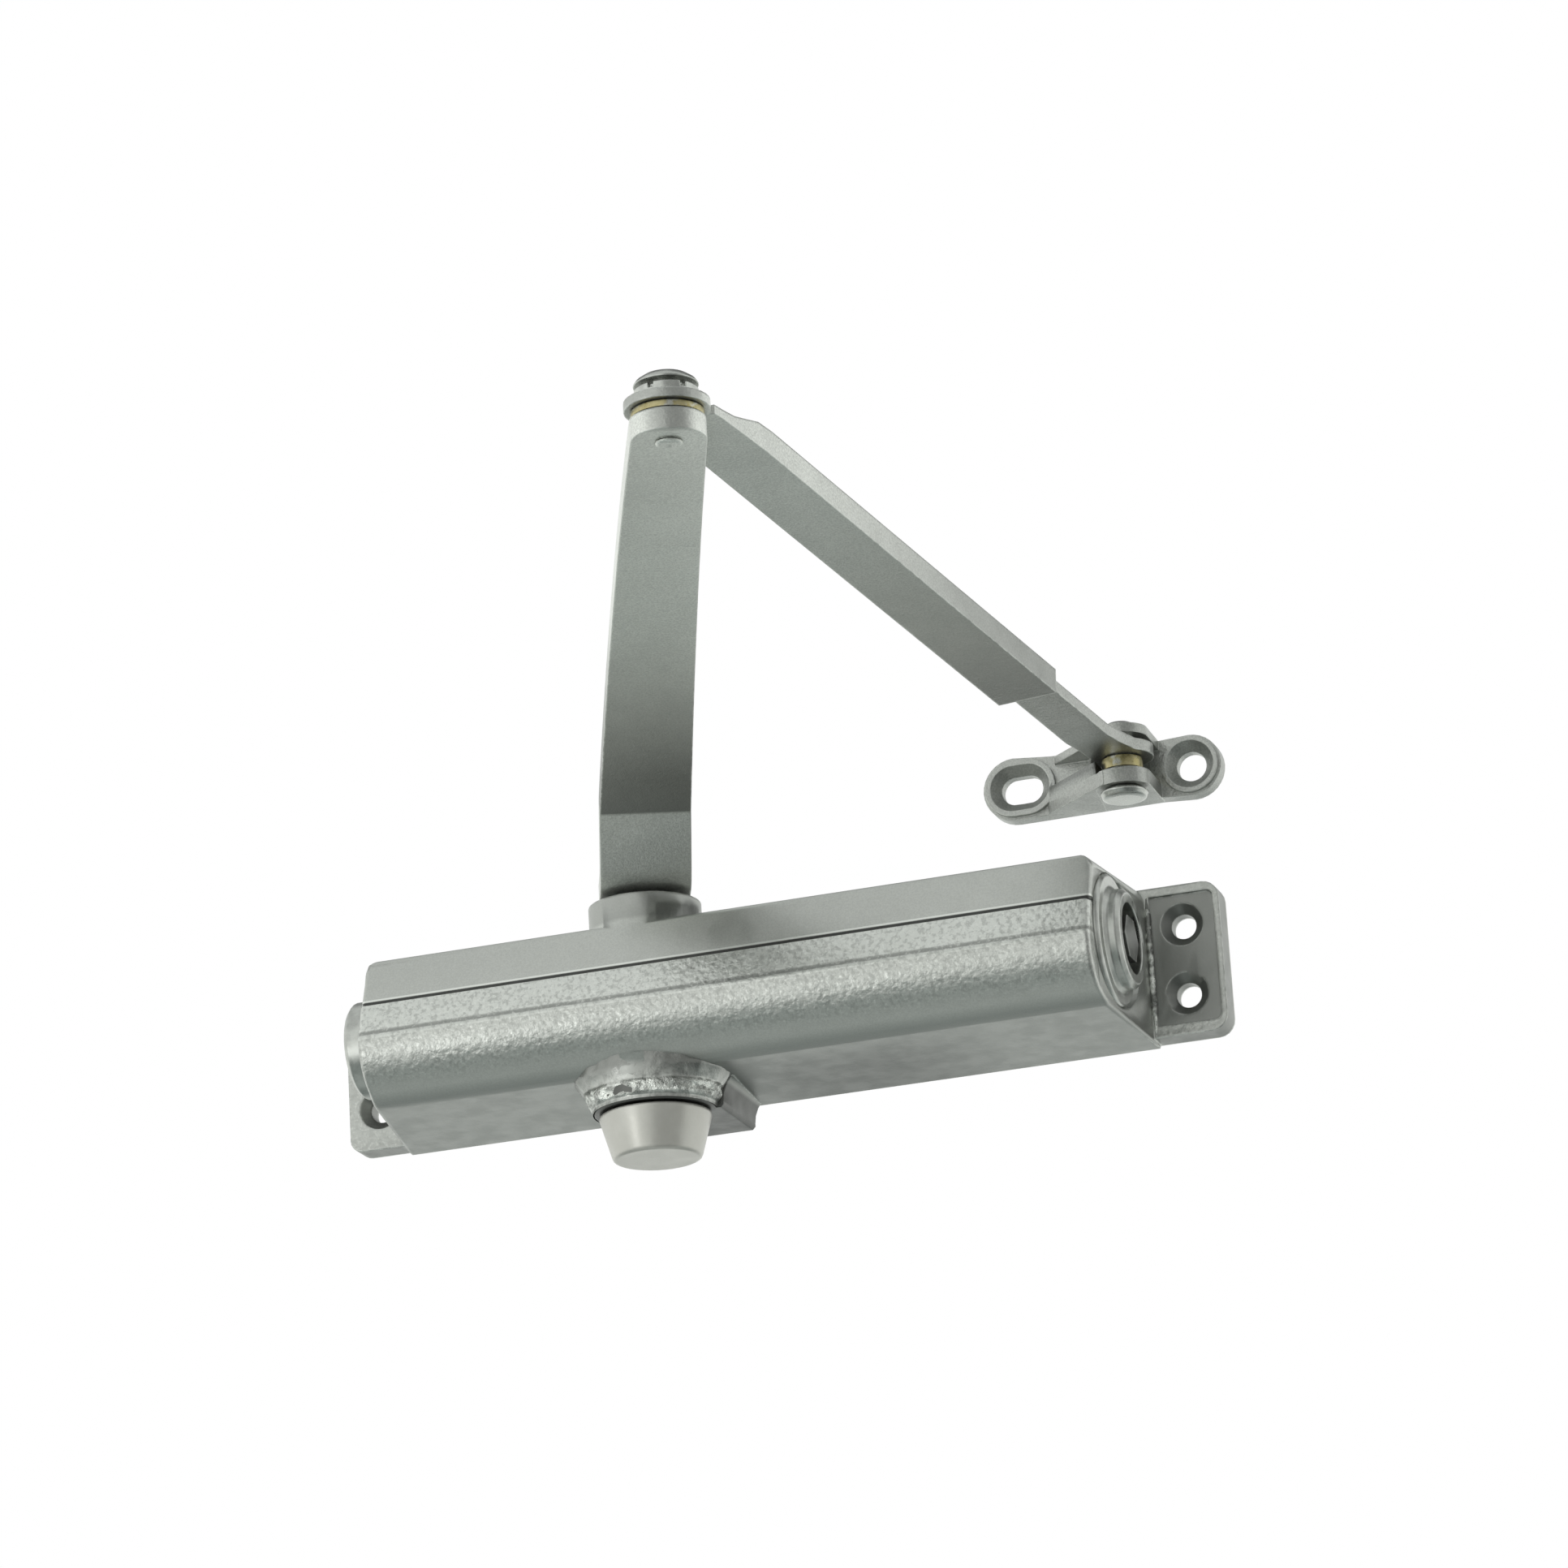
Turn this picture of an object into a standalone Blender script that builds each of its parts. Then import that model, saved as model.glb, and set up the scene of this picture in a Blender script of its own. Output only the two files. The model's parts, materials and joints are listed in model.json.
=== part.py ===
"""Surface-mounted door closer with a rack-and-pinion cylinder and a two-piece lever arm.

World frame, metres: the origin is the centre of the four-hole mounting pattern on the back
plane of the housing, +X runs along the cylinder, +Y goes into the door, +Z is up along the
spindle.  Every dimension below is in millimetres; solids are scaled to metres when made.
"""

import math

import bmesh
import bpy
from mathutils import Matrix, Vector

MM = 0.001
GAP = 0.3  # clearance left wherever two pieces meet

# Mounting pattern of the housing
HOLE_SPACING_X = 230.2
HOLE_SPACING_Z = 19.05
HOLE_RADIUS = 3.4
COUNTERSINK_RADIUS = 5.9

# Housing casting
BODY_LEFT = -101.9
BODY_RIGHT = 102.5
BODY_TOP = 21.2
BODY_FLOOR = -22.4
LEFT_FLARE = 6.2  # how far each end face leans out towards its flange
RIGHT_FLARE = 3.0
FLANGE_LEFT = -124.0
FLANGE_RIGHT = 126.0
FLANGE_THICK = 8.3
POCKET_DEPTH = 1.1
FLANGE_BOTTOM = -21.1
FLANGE_TOP = 20.3
FRONT_RADIUS = 16.0

# Cylinder bore along X
BORE_Y = -34.0
BORE_Z = -0.5
BORE_RADIUS = 16.5
PLUG_RADIUS = 18.0
PLUG_DEPTH = 9.0
LEFT_PLUG_NOSE = 8.2  # how far each plug stands out of its end face
RIGHT_PLUG_NOSE = 5.6

# Spindle along Z
SPINDLE_X = -26.4
SPINDLE_Y = BORE_Y
BOSS_RADIUS = 15.3
BOSS_TOP = 28.1
BOSS_BOTTOM = -29.6
SPINDLE_BORE = 12.7
JOURNAL_RADIUS = 8.2
SQUARE_SIDE = 12.0

# Rack and pinion
MODULE = 1.5
TEETH = 12
PRESSURE_ANGLE = math.radians(25)
PITCH_RADIUS = MODULE * TEETH / 2
BACKLASH = 0.2  # taken off each flank at the pitch line
PISTON_STROKE = PITCH_RADIUS * math.pi
PISTON_HEAD = 13.0

# Main arm
ARM_THICK = 5.5
ARM_HUB_Z = BOSS_TOP + 1.2
ARM_ELBOW_Z = 69.7
ARM_HUB_WIDTH = 24.4
ARM_ELBOW_WIDTH = 18.4
ELBOW = Vector((61.0, -257.0))
ARM_LENGTH = math.hypot(ELBOW.x - SPINDLE_X, ELBOW.y - SPINDLE_Y)
ARM_ANGLE = math.atan2(ELBOW.y - SPINDLE_Y, ELBOW.x - SPINDLE_X)

# Forearm, from the elbow to the foot pin
FOOT_PIN = Vector((104.8, -17.5))
FOREARM_LENGTH = (FOOT_PIN - ELBOW).length
FOREARM_ANGLE = math.atan2(FOOT_PIN.y - ELBOW.y, FOOT_PIN.x - ELBOW.x)
CHANNEL_WIDTH = 16.8
CHANNEL_HEIGHT = 6.6
CHANNEL_WALL = 2.0
CHANNEL_START = 34.0
CHANNEL_START_Z = ARM_ELBOW_Z + ARM_THICK + 0.4
CHANNEL_END = 187.5
FOREARM_SLOPE = -0.126  # fall per unit of length
EYE_Z = ARM_ELBOW_Z + ARM_THICK + 2.2
EYE_RADIUS = 10.4
PLATE = 2.3
ROD_THICK = 3.2
ROD_START = 75.0
ROD_BEND = 222.0
ROD_EYE_RADIUS = 8.6

# Elbow rivet and foot rivet
ELBOW_PIN_RADIUS = 4.1
TENON_RADIUS = 2.7  # the rivet's thinner end, through the main arm
FOOT_PIN_RADIUS = 3.5

# Foot bracket
FOOT_Z = 54.8
FOOT_THICK = 4.6
SLOT_X = 72.9
ROUND_X = 120.3
LUG_RADIUS = 7.4


# ---------------------------------------------------------------- scene and materials

def clear_scene():
    for obj in list(bpy.data.objects):
        bpy.data.objects.remove(obj, do_unlink=True)
    for name in ("Door_Closer", "Cutters"):
        collection = bpy.data.collections.new(name)
        bpy.context.scene.collection.children.link(collection)


def material(name, colour, roughness, metallic):
    found = bpy.data.materials.get(name)
    if found:
        return found
    made = bpy.data.materials.new(name)
    made.use_nodes = True
    shader = made.node_tree.nodes["Principled BSDF"]
    shader.inputs["Base Color"].default_value = (*colour, 1.0)
    shader.inputs["Roughness"].default_value = roughness
    shader.inputs["Metallic"].default_value = metallic
    return made


def painted_casting():
    return material("silver_painted_casting", (0.42, 0.44, 0.41), 0.42, 0.55)


def painted_steel():
    return material("silver_painted_steel", (0.40, 0.42, 0.39), 0.38, 0.60)


def bright_steel():
    return material("bright_steel", (0.55, 0.56, 0.55), 0.30, 0.95)


def hardened_steel():
    return material("hardened_steel", (0.36, 0.37, 0.38), 0.35, 0.95)


def spring_steel():
    return material("spring_steel", (0.12, 0.12, 0.13), 0.45, 0.85)


def yellow_zinc():
    return material("yellow_zinc", (0.55, 0.47, 0.22), 0.35, 0.90)


def grey_plastic():
    return material("grey_plastic", (0.36, 0.36, 0.33), 0.50, 0.0)


def black_rubber():
    return material("black_rubber", (0.02, 0.02, 0.02), 0.75, 0.0)


def bronze():
    return material("bronze", (0.45, 0.30, 0.14), 0.35, 0.95)


# ---------------------------------------------------------------- solids

def arc(cx, cy, radius, start, end, steps):
    """Points on a circle from start to end, in degrees."""
    angles = [math.radians(start + (end - start) * i / steps) for i in range(steps + 1)]
    return [(cx + radius * math.cos(a), cy + radius * math.sin(a)) for a in angles]


def taken_mesh(obj):
    """The finished mesh of obj, welded; obj itself is removed."""
    graph = bpy.context.evaluated_depsgraph_get()
    mesh = bpy.data.meshes.new_from_object(obj.evaluated_get(graph))
    mesh.transform(obj.matrix_world)
    bm = bmesh.new()
    bm.from_mesh(mesh)
    bmesh.ops.remove_doubles(bm, verts=bm.verts, dist=1e-7)
    bmesh.ops.recalc_face_normals(bm, faces=bm.faces)
    bm.to_mesh(mesh)
    bm.free()
    bpy.data.objects.remove(obj)
    return mesh


def flat_solid(outline, thickness, holes=()):
    """A flat plate in the XY plane, thickness centred on Z = 0."""
    curve = bpy.data.curves.new("outline", "CURVE")
    curve.dimensions = "2D"
    curve.fill_mode = "BOTH"
    curve.extrude = thickness / 2 * MM
    for loop in (outline, *holes):
        spline = curve.splines.new("POLY")
        spline.points.add(len(loop) - 1)
        for point, (x, y) in zip(spline.points, loop):
            point.co = (x * MM, y * MM, 0.0, 1.0)
        spline.use_cyclic_u = True
    obj = bpy.data.objects.new("outline", curve)
    bpy.context.scene.collection.objects.link(obj)
    bpy.context.view_layer.update()
    return taken_mesh(obj)


def plate_z(outline, bottom, top, holes=()):
    """Outline in X and Y, standing from bottom to top."""
    mesh = flat_solid(outline, top - bottom, holes)
    mesh.transform(Matrix.Translation((0, 0, (bottom + top) / 2 * MM)))
    return mesh


def plate_x(outline, left, right):
    """Outline in Y and Z, running from left to right along X."""
    mesh = flat_solid(outline, right - left)
    turn = Matrix(((0, 0, 1, 0), (1, 0, 0, 0), (0, 1, 0, 0), (0, 0, 0, 1)))
    mesh.transform(Matrix.Translation(((left + right) / 2 * MM, 0, 0)) @ turn)
    return mesh


def plate_y(outline, front, back, holes=()):
    """Outline in X and Z, running from front to back along Y."""
    mesh = flat_solid(outline, back - front, holes)
    turn = Matrix.Rotation(math.radians(90), 4, "X")
    mesh.transform(Matrix.Translation((0, (front + back) / 2 * MM, 0)) @ turn)
    return mesh


def turned(profile, steps=36, closed=False):
    """A body of revolution about Z; profile is (radius, height) down its outer side."""
    mesh = bpy.data.meshes.new("profile")
    points = [(r * MM, 0.0, z * MM) for r, z in profile]
    edges = [(i, i + 1) for i in range(len(points) - 1)]
    if closed:
        edges.append((len(points) - 1, 0))
    mesh.from_pydata(points, edges, [])
    obj = bpy.data.objects.new("profile", mesh)
    bpy.context.scene.collection.objects.link(obj)
    screw = obj.modifiers.new("turn", "SCREW")
    screw.axis = "Z"
    screw.steps = steps
    screw.render_steps = steps
    screw.use_merge_vertices = True
    screw.merge_threshold = 1e-6
    bpy.context.view_layer.update()
    return taken_mesh(obj)


def ring(outer, inner, bottom, top, steps=36):
    return turned([(outer, top), (outer, bottom), (inner, bottom), (inner, top)], steps, True)


def drum(radius, bottom, top, steps=40, top_radius=None):
    """A plain cylinder or cone about Z."""
    bm = bmesh.new()
    upper = radius if top_radius is None else top_radius
    bmesh.ops.create_cone(bm, cap_ends=True, segments=steps, radius1=radius * MM,
                          radius2=upper * MM, depth=(top - bottom) * MM)
    mesh = bpy.data.meshes.new("drum")
    bm.to_mesh(mesh)
    bm.free()
    mesh.transform(Matrix.Translation((0, 0, (bottom + top) / 2 * MM)))
    return mesh


def block(x0, x1, y0, y1, z0, z1):
    bm = bmesh.new()
    bmesh.ops.create_cube(bm, size=1.0)
    mesh = bpy.data.meshes.new("block")
    bm.to_mesh(mesh)
    bm.free()
    centre = Vector((x0 + x1, y0 + y1, z0 + z1)) / 2 * MM
    size = Matrix.Diagonal(((x1 - x0) * MM, (y1 - y0) * MM, (z1 - z0) * MM, 1))
    mesh.transform(Matrix.Translation(centre) @ size)
    return mesh


def torus(major, minor, steps=40, sides=10):
    profile = arc(major, 0, minor, 90, -270 + 360 / sides, sides - 1)
    return turned(profile, steps, True)


def moved(mesh, x=0.0, y=0.0, z=0.0):
    mesh.transform(Matrix.Translation((x * MM, y * MM, z * MM)))
    return mesh


def along_x(mesh):
    """Lays a body made about Z down along +X, on the cylinder's axis."""
    mesh.transform(Matrix.Rotation(math.radians(90), 4, "Y"))
    return moved(mesh, 0, BORE_Y, BORE_Z)


def piece(name, mesh, look, origin=(0, 0, 0), turn=0.0):
    """A named sub-part; its mesh is made about origin, in a frame turned about Z."""
    mesh.name = name
    obj = bpy.data.objects.new(name, mesh)
    obj.location = [value * MM for value in origin]
    obj.rotation_euler.z = turn
    obj.data.materials.clear()
    obj.data.materials.append(look)
    bpy.data.collections["Door_Closer"].objects.link(obj)
    return obj


def shape(obj, operation, mesh, name):
    """Joins or cuts a mesh, given in obj's own frame."""
    tool = bpy.data.objects.new(f"{obj.name}_{name}", mesh)
    tool.hide_render = True
    tool.display_type = "WIRE"
    tool.matrix_world = Matrix.Translation(obj.location) @ Matrix.Rotation(obj.rotation_euler.z, 4, "Z")
    bpy.data.collections["Cutters"].objects.link(tool)
    step = obj.modifiers.new(name, "BOOLEAN")
    step.operation = operation
    step.solver = "EXACT"
    step.object = tool


def join(obj, mesh, name):
    shape(obj, "UNION", mesh, name)


def cut(obj, mesh, name):
    shape(obj, "DIFFERENCE", mesh, name)


def smooth(obj, angle=32):
    obj.data.shade_smooth()
    obj.data.set_sharp_from_angle(angle=math.radians(angle))


# ---------------------------------------------------------------- housing

def body_section():
    """Cross-section of the casting in Y and Z: sloping floor, round front, grooved cheek."""
    floor_tilt = 4.4
    centre = (-57.6 + FRONT_RADIUS, -4.4)
    front = arc(*centre, FRONT_RADIUS, 270 - floor_tilt, 180, 9)
    back = [(0.0, BODY_TOP - 1.2), (0.0, BODY_FLOOR + 2.2), (-2.6, BODY_FLOOR)]
    lower_step = [(-57.6, -3.4), (-56.9, -2.7)]
    groove = [(-54.4, 5.9), (-52.8, 6.2), (-53.4, 7.1)]
    top = [(-48.6, 19.0), (-47.4, 20.0), (-1.2, BODY_TOP)]
    return [*back, *front, *lower_step, *groove, *top]


def end_trim(face, flare):
    """Cutter that leaves an end face leaning outwards, by flare, towards the wall."""
    outer = face + flare
    far = face + math.copysign(30.0, flare)
    outline = [(face, -70.0), (face, -50.0), (outer, 0.6 - FLANGE_THICK),
               (outer, 5.0), (far, 5.0), (far, -70.0)]
    return plate_z(outline, -50.0, 50.0)


def corner_round(face, flare, radius):
    """Cutter that rounds the top corner of an end face and leans out with it."""
    side = math.copysign(1.0, flare)
    front, top = -50.0, 20.1
    middle = (face - side * radius, top - radius)
    turn = [(middle[0] + side * (x - middle[0]), z) for x, z in arc(*middle, radius, 90, 0, 6)]
    outline = [*turn, (face + side * 9, top - radius), (face + side * 9, top + 9), (middle[0], top + 9)]
    mesh = plate_y(outline, -70.0, 5.0)
    lean = flare / (0.6 - FLANGE_THICK - front)
    rise = (BODY_TOP - 20.0) / 46.2
    for vertex in mesh.vertices:
        behind = vertex.co.y - front * MM
        vertex.co.x += lean * behind
        vertex.co.z += rise * behind
    return mesh


def flange_outline(left, right, radius, round_left):
    """Mounting flange in X and Z with two rounded outer corners."""
    low, high = FLANGE_BOTTOM, FLANGE_TOP
    if round_left:
        corners = [(right, high), (right, low)]
        return [*corners, *arc(left + radius, low + radius, radius, 270, 180, 5),
                *arc(left + radius, high - radius, radius, 180, 90, 5)]
    return [*arc(right - radius, high - radius, radius, 90, 0, 5),
            *arc(right - radius, low + radius, radius, 0, -90, 5), (left, low), (left, high)]


def pocket_outline():
    """Shallow pocket in the face of the right flange, inside a raised rim."""
    left, right = BODY_RIGHT + RIGHT_FLARE + 1.2, FLANGE_RIGHT - 1.6
    low, high = FLANGE_BOTTOM + 3.0, FLANGE_TOP - 2.4
    return [(left, high), *arc(right - 2, high - 2, 2, 90, 0, 3),
            *arc(right - 2, low + 2, 2, 0, -90, 3), (left, low)]


def lower_boss():
    """Cast boss under the body, a little wider where it meets the casting."""
    profile = [(0, -12.0), (18.2, -12.0), (17.8, -21.5), (16.9, -24.5),
               (16.6, BOSS_BOTTOM + 0.6), (16.0, BOSS_BOTTOM), (0, BOSS_BOTTOM)]
    return moved(turned(profile), SPINDLE_X, SPINDLE_Y)


def side_block():
    """Square boss beside the lower boss, with a hollow fillet into the floor."""
    right = -8.2
    low = BOSS_BOTTOM + 0.3
    outline = [(SPINDLE_X, -15.0), (SPINDLE_X, low), (right - 0.8, low), (right, low + 0.8),
               *arc(right + 9.0, low + 1.6, 9.0, 180, 110, 5), (4.0, -15.0)]
    return plate_y(outline, -31.0, -4.0)


def countersunk_hole(x, z, face):
    """Cutter for a screw hole that opens at a flange's face."""
    depth = COUNTERSINK_RADIUS - HOLE_RADIUS
    profile = [(0, 1.0), (COUNTERSINK_RADIUS + 1.0, 1.0), (HOLE_RADIUS, -depth),
               (HOLE_RADIUS, -FLANGE_THICK - 1.0), (0, -FLANGE_THICK - 1.0)]
    mesh = turned(profile, 32)
    mesh.transform(Matrix.Rotation(math.radians(90), 4, "X"))
    return moved(mesh, x, face, z)


def make_housing():
    body = plate_x(body_section(), BODY_LEFT - LEFT_FLARE - 2.0, BODY_RIGHT + RIGHT_FLARE + 2.0)
    housing = piece("housing", body, painted_casting())
    cut(housing, end_trim(BODY_LEFT, -LEFT_FLARE), "left_end")
    cut(housing, end_trim(BODY_RIGHT, RIGHT_FLARE), "right_end")
    cut(housing, corner_round(BODY_LEFT, -LEFT_FLARE, 4.2), "left_corner")
    cut(housing, corner_round(BODY_RIGHT, RIGHT_FLARE, 4.6), "right_corner")
    join(housing, plate_y(flange_outline(FLANGE_LEFT, -90.0, 3.5, True), -FLANGE_THICK, -0.4),
         "left_flange")
    join(housing, plate_y(flange_outline(88.0, FLANGE_RIGHT, 4.5, False), -FLANGE_THICK, -0.4),
         "right_flange")
    boss = drum(BOSS_RADIUS, 12.0, BOSS_TOP, 48)
    join(housing, moved(boss, SPINDLE_X, SPINDLE_Y), "upper_boss")
    join(housing, lower_boss(), "lower_boss")
    join(housing, side_block(), "side_block")
    cut(housing, along_x(drum(BORE_RADIUS, -130, 130)), "cylinder_bore")
    seat = PLUG_RADIUS + GAP
    cut(housing, along_x(drum(seat, BODY_LEFT - 20, BODY_LEFT + PLUG_DEPTH)), "left_plug_seat")
    cut(housing, along_x(drum(seat, BODY_RIGHT - PLUG_DEPTH, BODY_RIGHT + 20)), "right_plug_seat")
    cut(housing, moved(drum(SPINDLE_BORE, -40, 40), SPINDLE_X, SPINDLE_Y), "spindle_bore")
    for side, x, face in (("left", -HOLE_SPACING_X / 2, -FLANGE_THICK),
                          ("right", HOLE_SPACING_X / 2, POCKET_DEPTH - FLANGE_THICK)):
        for level, z in (("lower", -HOLE_SPACING_Z / 2), ("upper", HOLE_SPACING_Z / 2)):
            cut(housing, countersunk_hole(x, z, face), f"{side}_{level}_hole")
    for name, x in VALVES.items():
        cut(housing, moved(drum(VALVE_RADIUS + GAP, 6.0, 30.0, 24), x, VALVE_Y), f"{name}_port")
    cut(housing, plate_y(pocket_outline(), -FLANGE_THICK - 5.0, POCKET_DEPTH - FLANGE_THICK), "right_pocket")
    smooth(housing)


# ---------------------------------------------------------------- end plugs and valves

VALVES = {"sweep_valve": 28.0, "latch_valve": 42.0, "backcheck_valve": 56.0}
VALVE_RADIUS = 2.8
VALVE_Y = -9.6
VALVE_TOP = 19.6


def plug_profile(nose, socket_radius, socket_depth):
    """Turned plug: thread in the casting, collar, neck and nose with a socket."""
    return [(0, nose - socket_depth), (socket_radius, nose - socket_depth),
            (socket_radius, nose), (12.2, nose), (13.4, nose - 1.2), (13.4, 2.6),
            (14.6, 1.4), (17.2, 1.4), (PLUG_RADIUS, 0.6), (PLUG_RADIUS, -PLUG_DEPTH + GAP),
            (13.2, -PLUG_DEPTH + GAP), (13.2, -PLUG_DEPTH - 5.0), (0, -PLUG_DEPTH - 5.0)]


def make_left_plug():
    mesh = turned(plug_profile(LEFT_PLUG_NOSE, 7.5, 5.0))
    mesh.transform(Matrix.Rotation(math.radians(180), 4, "X"))
    plug = piece("end_plug_left", along_x(moved(mesh, 0, 0, BODY_LEFT)), bright_steel())
    smooth(plug)


def make_right_plug():
    mesh = moved(turned(plug_profile(RIGHT_PLUG_NOSE, 9.6, 7.5)), 0, 0, BODY_RIGHT)
    plug = piece("end_plug_right", along_x(mesh), bright_steel())
    cut(plug, along_x(drum(ADJUSTER_RADIUS + GAP, 60, 130, 32)), "adjuster_hole")
    smooth(plug)


def make_plug_seals():
    for name, x in (("plug_seal_left", BODY_LEFT + PLUG_DEPTH + 2.6),
                    ("plug_seal_right", BODY_RIGHT - PLUG_DEPTH - 2.6)):
        seal = piece(name, along_x(moved(torus(14.85, 1.3), 0, 0, x)), black_rubber())
        smooth(seal, 60)


def make_valves():
    for name, x in VALVES.items():
        profile = [(0, VALVE_TOP), (VALVE_RADIUS - 0.4, VALVE_TOP), (VALVE_RADIUS, VALVE_TOP - 0.4),
                   (VALVE_RADIUS, 10.5), (1.6, 9.6), (1.2, 7.0), (0, 6.5)]
        valve = piece(name, turned(profile, 24), bright_steel(), (x, VALVE_Y, 0))
        cut(valve, block(-4, 4, -0.45, 0.45, VALVE_TOP - 1.2, VALVE_TOP + 1), "driver_slot")
        smooth(valve)


# ---------------------------------------------------------------- spindle

def pinion_outline():
    """Gear outline with involute flanks; one tooth points along -Y."""
    base = PITCH_RADIUS * math.cos(PRESSURE_ANGLE)
    tip = PITCH_RADIUS + MODULE * 0.95
    root = PITCH_RADIUS - MODULE * 1.25
    half_tooth = (math.pi * MODULE / 4 - BACKLASH) / PITCH_RADIUS
    involute_at_pitch = math.tan(PRESSURE_ANGLE) - PRESSURE_ANGLE

    def flank(radius):
        pressure = math.acos(base / radius)
        return half_tooth + involute_at_pitch - (math.tan(pressure) - pressure)

    radii = [base + (tip - base) * i / 4 for i in range(5)]
    outline = []
    for tooth in range(TEETH):
        middle = -math.pi / 2 + 2 * math.pi * tooth / TEETH
        side = [(root, flank(base)), *((r, flank(r)) for r in radii)]
        left = [(r, middle - a) for r, a in side]
        right = [(r, middle + a) for r, a in reversed(side)]
        outline += [(r * math.cos(a), r * math.sin(a)) for r, a in left + right]
    return outline


def square_end(bottom, top, side_at_bottom, side_at_top):
    half = math.sqrt(0.5)
    mesh = drum(side_at_bottom * half, bottom, top, 4, side_at_top * half)
    mesh.transform(Matrix.Rotation(math.radians(45), 4, "Z"))
    return mesh


def make_pinion_shaft():
    neck = PITCH_RADIUS - MODULE * 1.25 - 0.2
    top, bottom = BOSS_TOP + 0.4, BOSS_BOTTOM - 0.2
    profile = [(0, top), (JOURNAL_RADIUS - 0.5, top), (JOURNAL_RADIUS, top - 0.5),
               (JOURNAL_RADIUS, 16.5), (neck, 15.5), (neck, -16.0), (JOURNAL_RADIUS, -17.0),
               (JOURNAL_RADIUS, bottom + 0.5), (JOURNAL_RADIUS - 0.5, bottom), (0, bottom)]
    shaft = piece("pinion_shaft", turned(profile), hardened_steel(), (SPINDLE_X, SPINDLE_Y, 0))
    join(shaft, plate_z(pinion_outline(), -10.5, 9.5), "pinion_teeth")
    join(shaft, square_end(top - 3, ARM_HUB_Z + ARM_THICK - 0.4, SQUARE_SIDE, SQUARE_SIDE), "upper_square")
    join(shaft, square_end(-37.0, bottom + 3, SQUARE_SIDE - 1.0, SQUARE_SIDE), "lower_square")
    cut(shaft, drum(3.3, 18.0, 50.0, 24), "screw_hole")
    smooth(shaft)


def make_spindle_fittings():
    """Bearing, seal and gland ring at each end of the spindle bore."""
    inner = JOURNAL_RADIUS + GAP
    outer = SPINDLE_BORE - GAP
    at = (SPINDLE_X, SPINDLE_Y, 0)
    upper = BOSS_TOP - 0.2
    lower = BOSS_BOTTOM + 0.2
    smooth(piece("upper_bearing", ring(outer, inner, 17.0, 21.4), bronze(), at))
    smooth(piece("upper_seal", ring(outer, inner, 21.7, 24.4), black_rubber(), at))
    smooth(piece("upper_gland", ring(outer, inner, 24.7, upper), bright_steel(), at))
    smooth(piece("lower_bearing", ring(outer, inner, -23.4, -17.6), bronze(), at))
    smooth(piece("lower_seal", ring(outer, inner, -26.4, -23.7), black_rubber(), at))
    smooth(piece("lower_gland", ring(outer, inner, lower, -26.7), bright_steel(), at))


def make_pinion_cap():
    """Hollow tapered cap, open at the top."""
    rim = BOSS_BOTTOM - 0.5
    end = -42.2
    profile = [(0, end + 2.0), (9.8, end + 2.0), (10.4, end + 2.8), (13.1, rim), (15.1, rim),
               (15.1, rim - 0.8), (12.2, end + 1.0), (11.9, end + 0.4), (11.4, end), (0, end)]
    smooth(piece("pinion_cap", turned(profile), grey_plastic(), (SPINDLE_X, SPINDLE_Y, 0)))


# ---------------------------------------------------------------- piston and spring

PISTON_RADIUS = BORE_RADIUS - GAP
SLOT_RIGHT = SPINDLE_X + PITCH_RADIUS + MODULE + 1.0
SLOT_LEFT = SLOT_RIGHT - 2 * (PITCH_RADIUS + MODULE + 1.0) - PISTON_STROKE
PISTON_RIGHT = SLOT_RIGHT + PISTON_HEAD
PISTON_LEFT = SLOT_LEFT - PISTON_HEAD
SPRING_RADIUS = 13.2
SPRING_WIRE = 2.1
SPRING_TURNS = 8
ADJUSTER_RADIUS = 4.0
SEAT_X = 82.0
SEAT_THICK = 4.0


def rack_slot():
    """Slot through the piston in X and Y; its front edge carries the rack teeth."""
    pitch = math.pi * MODULE
    front = SPINDLE_Y - PITCH_RADIUS
    root = front - MODULE * 1.2
    crest = front + MODULE * 0.95
    half_gap = pitch / 4 + BACKLASH
    slope = math.tan(PRESSURE_ANGLE)
    at_root = half_gap - (front - root) * slope
    at_crest = half_gap + (crest - front) * slope
    edge = []
    for step in range(-9, 3):
        x = SPINDLE_X + step * pitch
        if SLOT_LEFT + at_crest < x < SLOT_RIGHT - at_crest:
            edge += [(x - at_crest, crest), (x - at_root, root), (x + at_root, root), (x + at_crest, crest)]
    back = SPINDLE_Y + PITCH_RADIUS + MODULE + 0.6
    return [(SLOT_LEFT, back), (SLOT_LEFT, crest), *edge, (SLOT_RIGHT, crest), (SLOT_RIGHT, back)]


def make_piston():
    r = PISTON_RADIUS
    profile = [(0, PISTON_RIGHT), (r - 1, PISTON_RIGHT), (r, PISTON_RIGHT - 1), (r, PISTON_LEFT + 1),
               (r - 1, PISTON_LEFT), (0, PISTON_LEFT)]
    piston = piece("piston", along_x(turned(profile)), hardened_steel())
    cut(piston, plate_z(rack_slot(), -30, 30), "rack_slot")
    cut(piston, along_x(drum(4.0, PISTON_RIGHT - 8, PISTON_RIGHT + 5, 32)), "valve_pocket")
    cut(piston, along_x(drum(1.5, SLOT_RIGHT - 5, PISTON_RIGHT + 5, 16)), "valve_port")
    smooth(piston)


def make_check_valve():
    mesh = ring(4.0 - GAP, 1.5, PISTON_RIGHT - 7.5, PISTON_RIGHT - 0.5, 32)
    smooth(piece("check_valve", along_x(mesh), bronze()))


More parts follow.
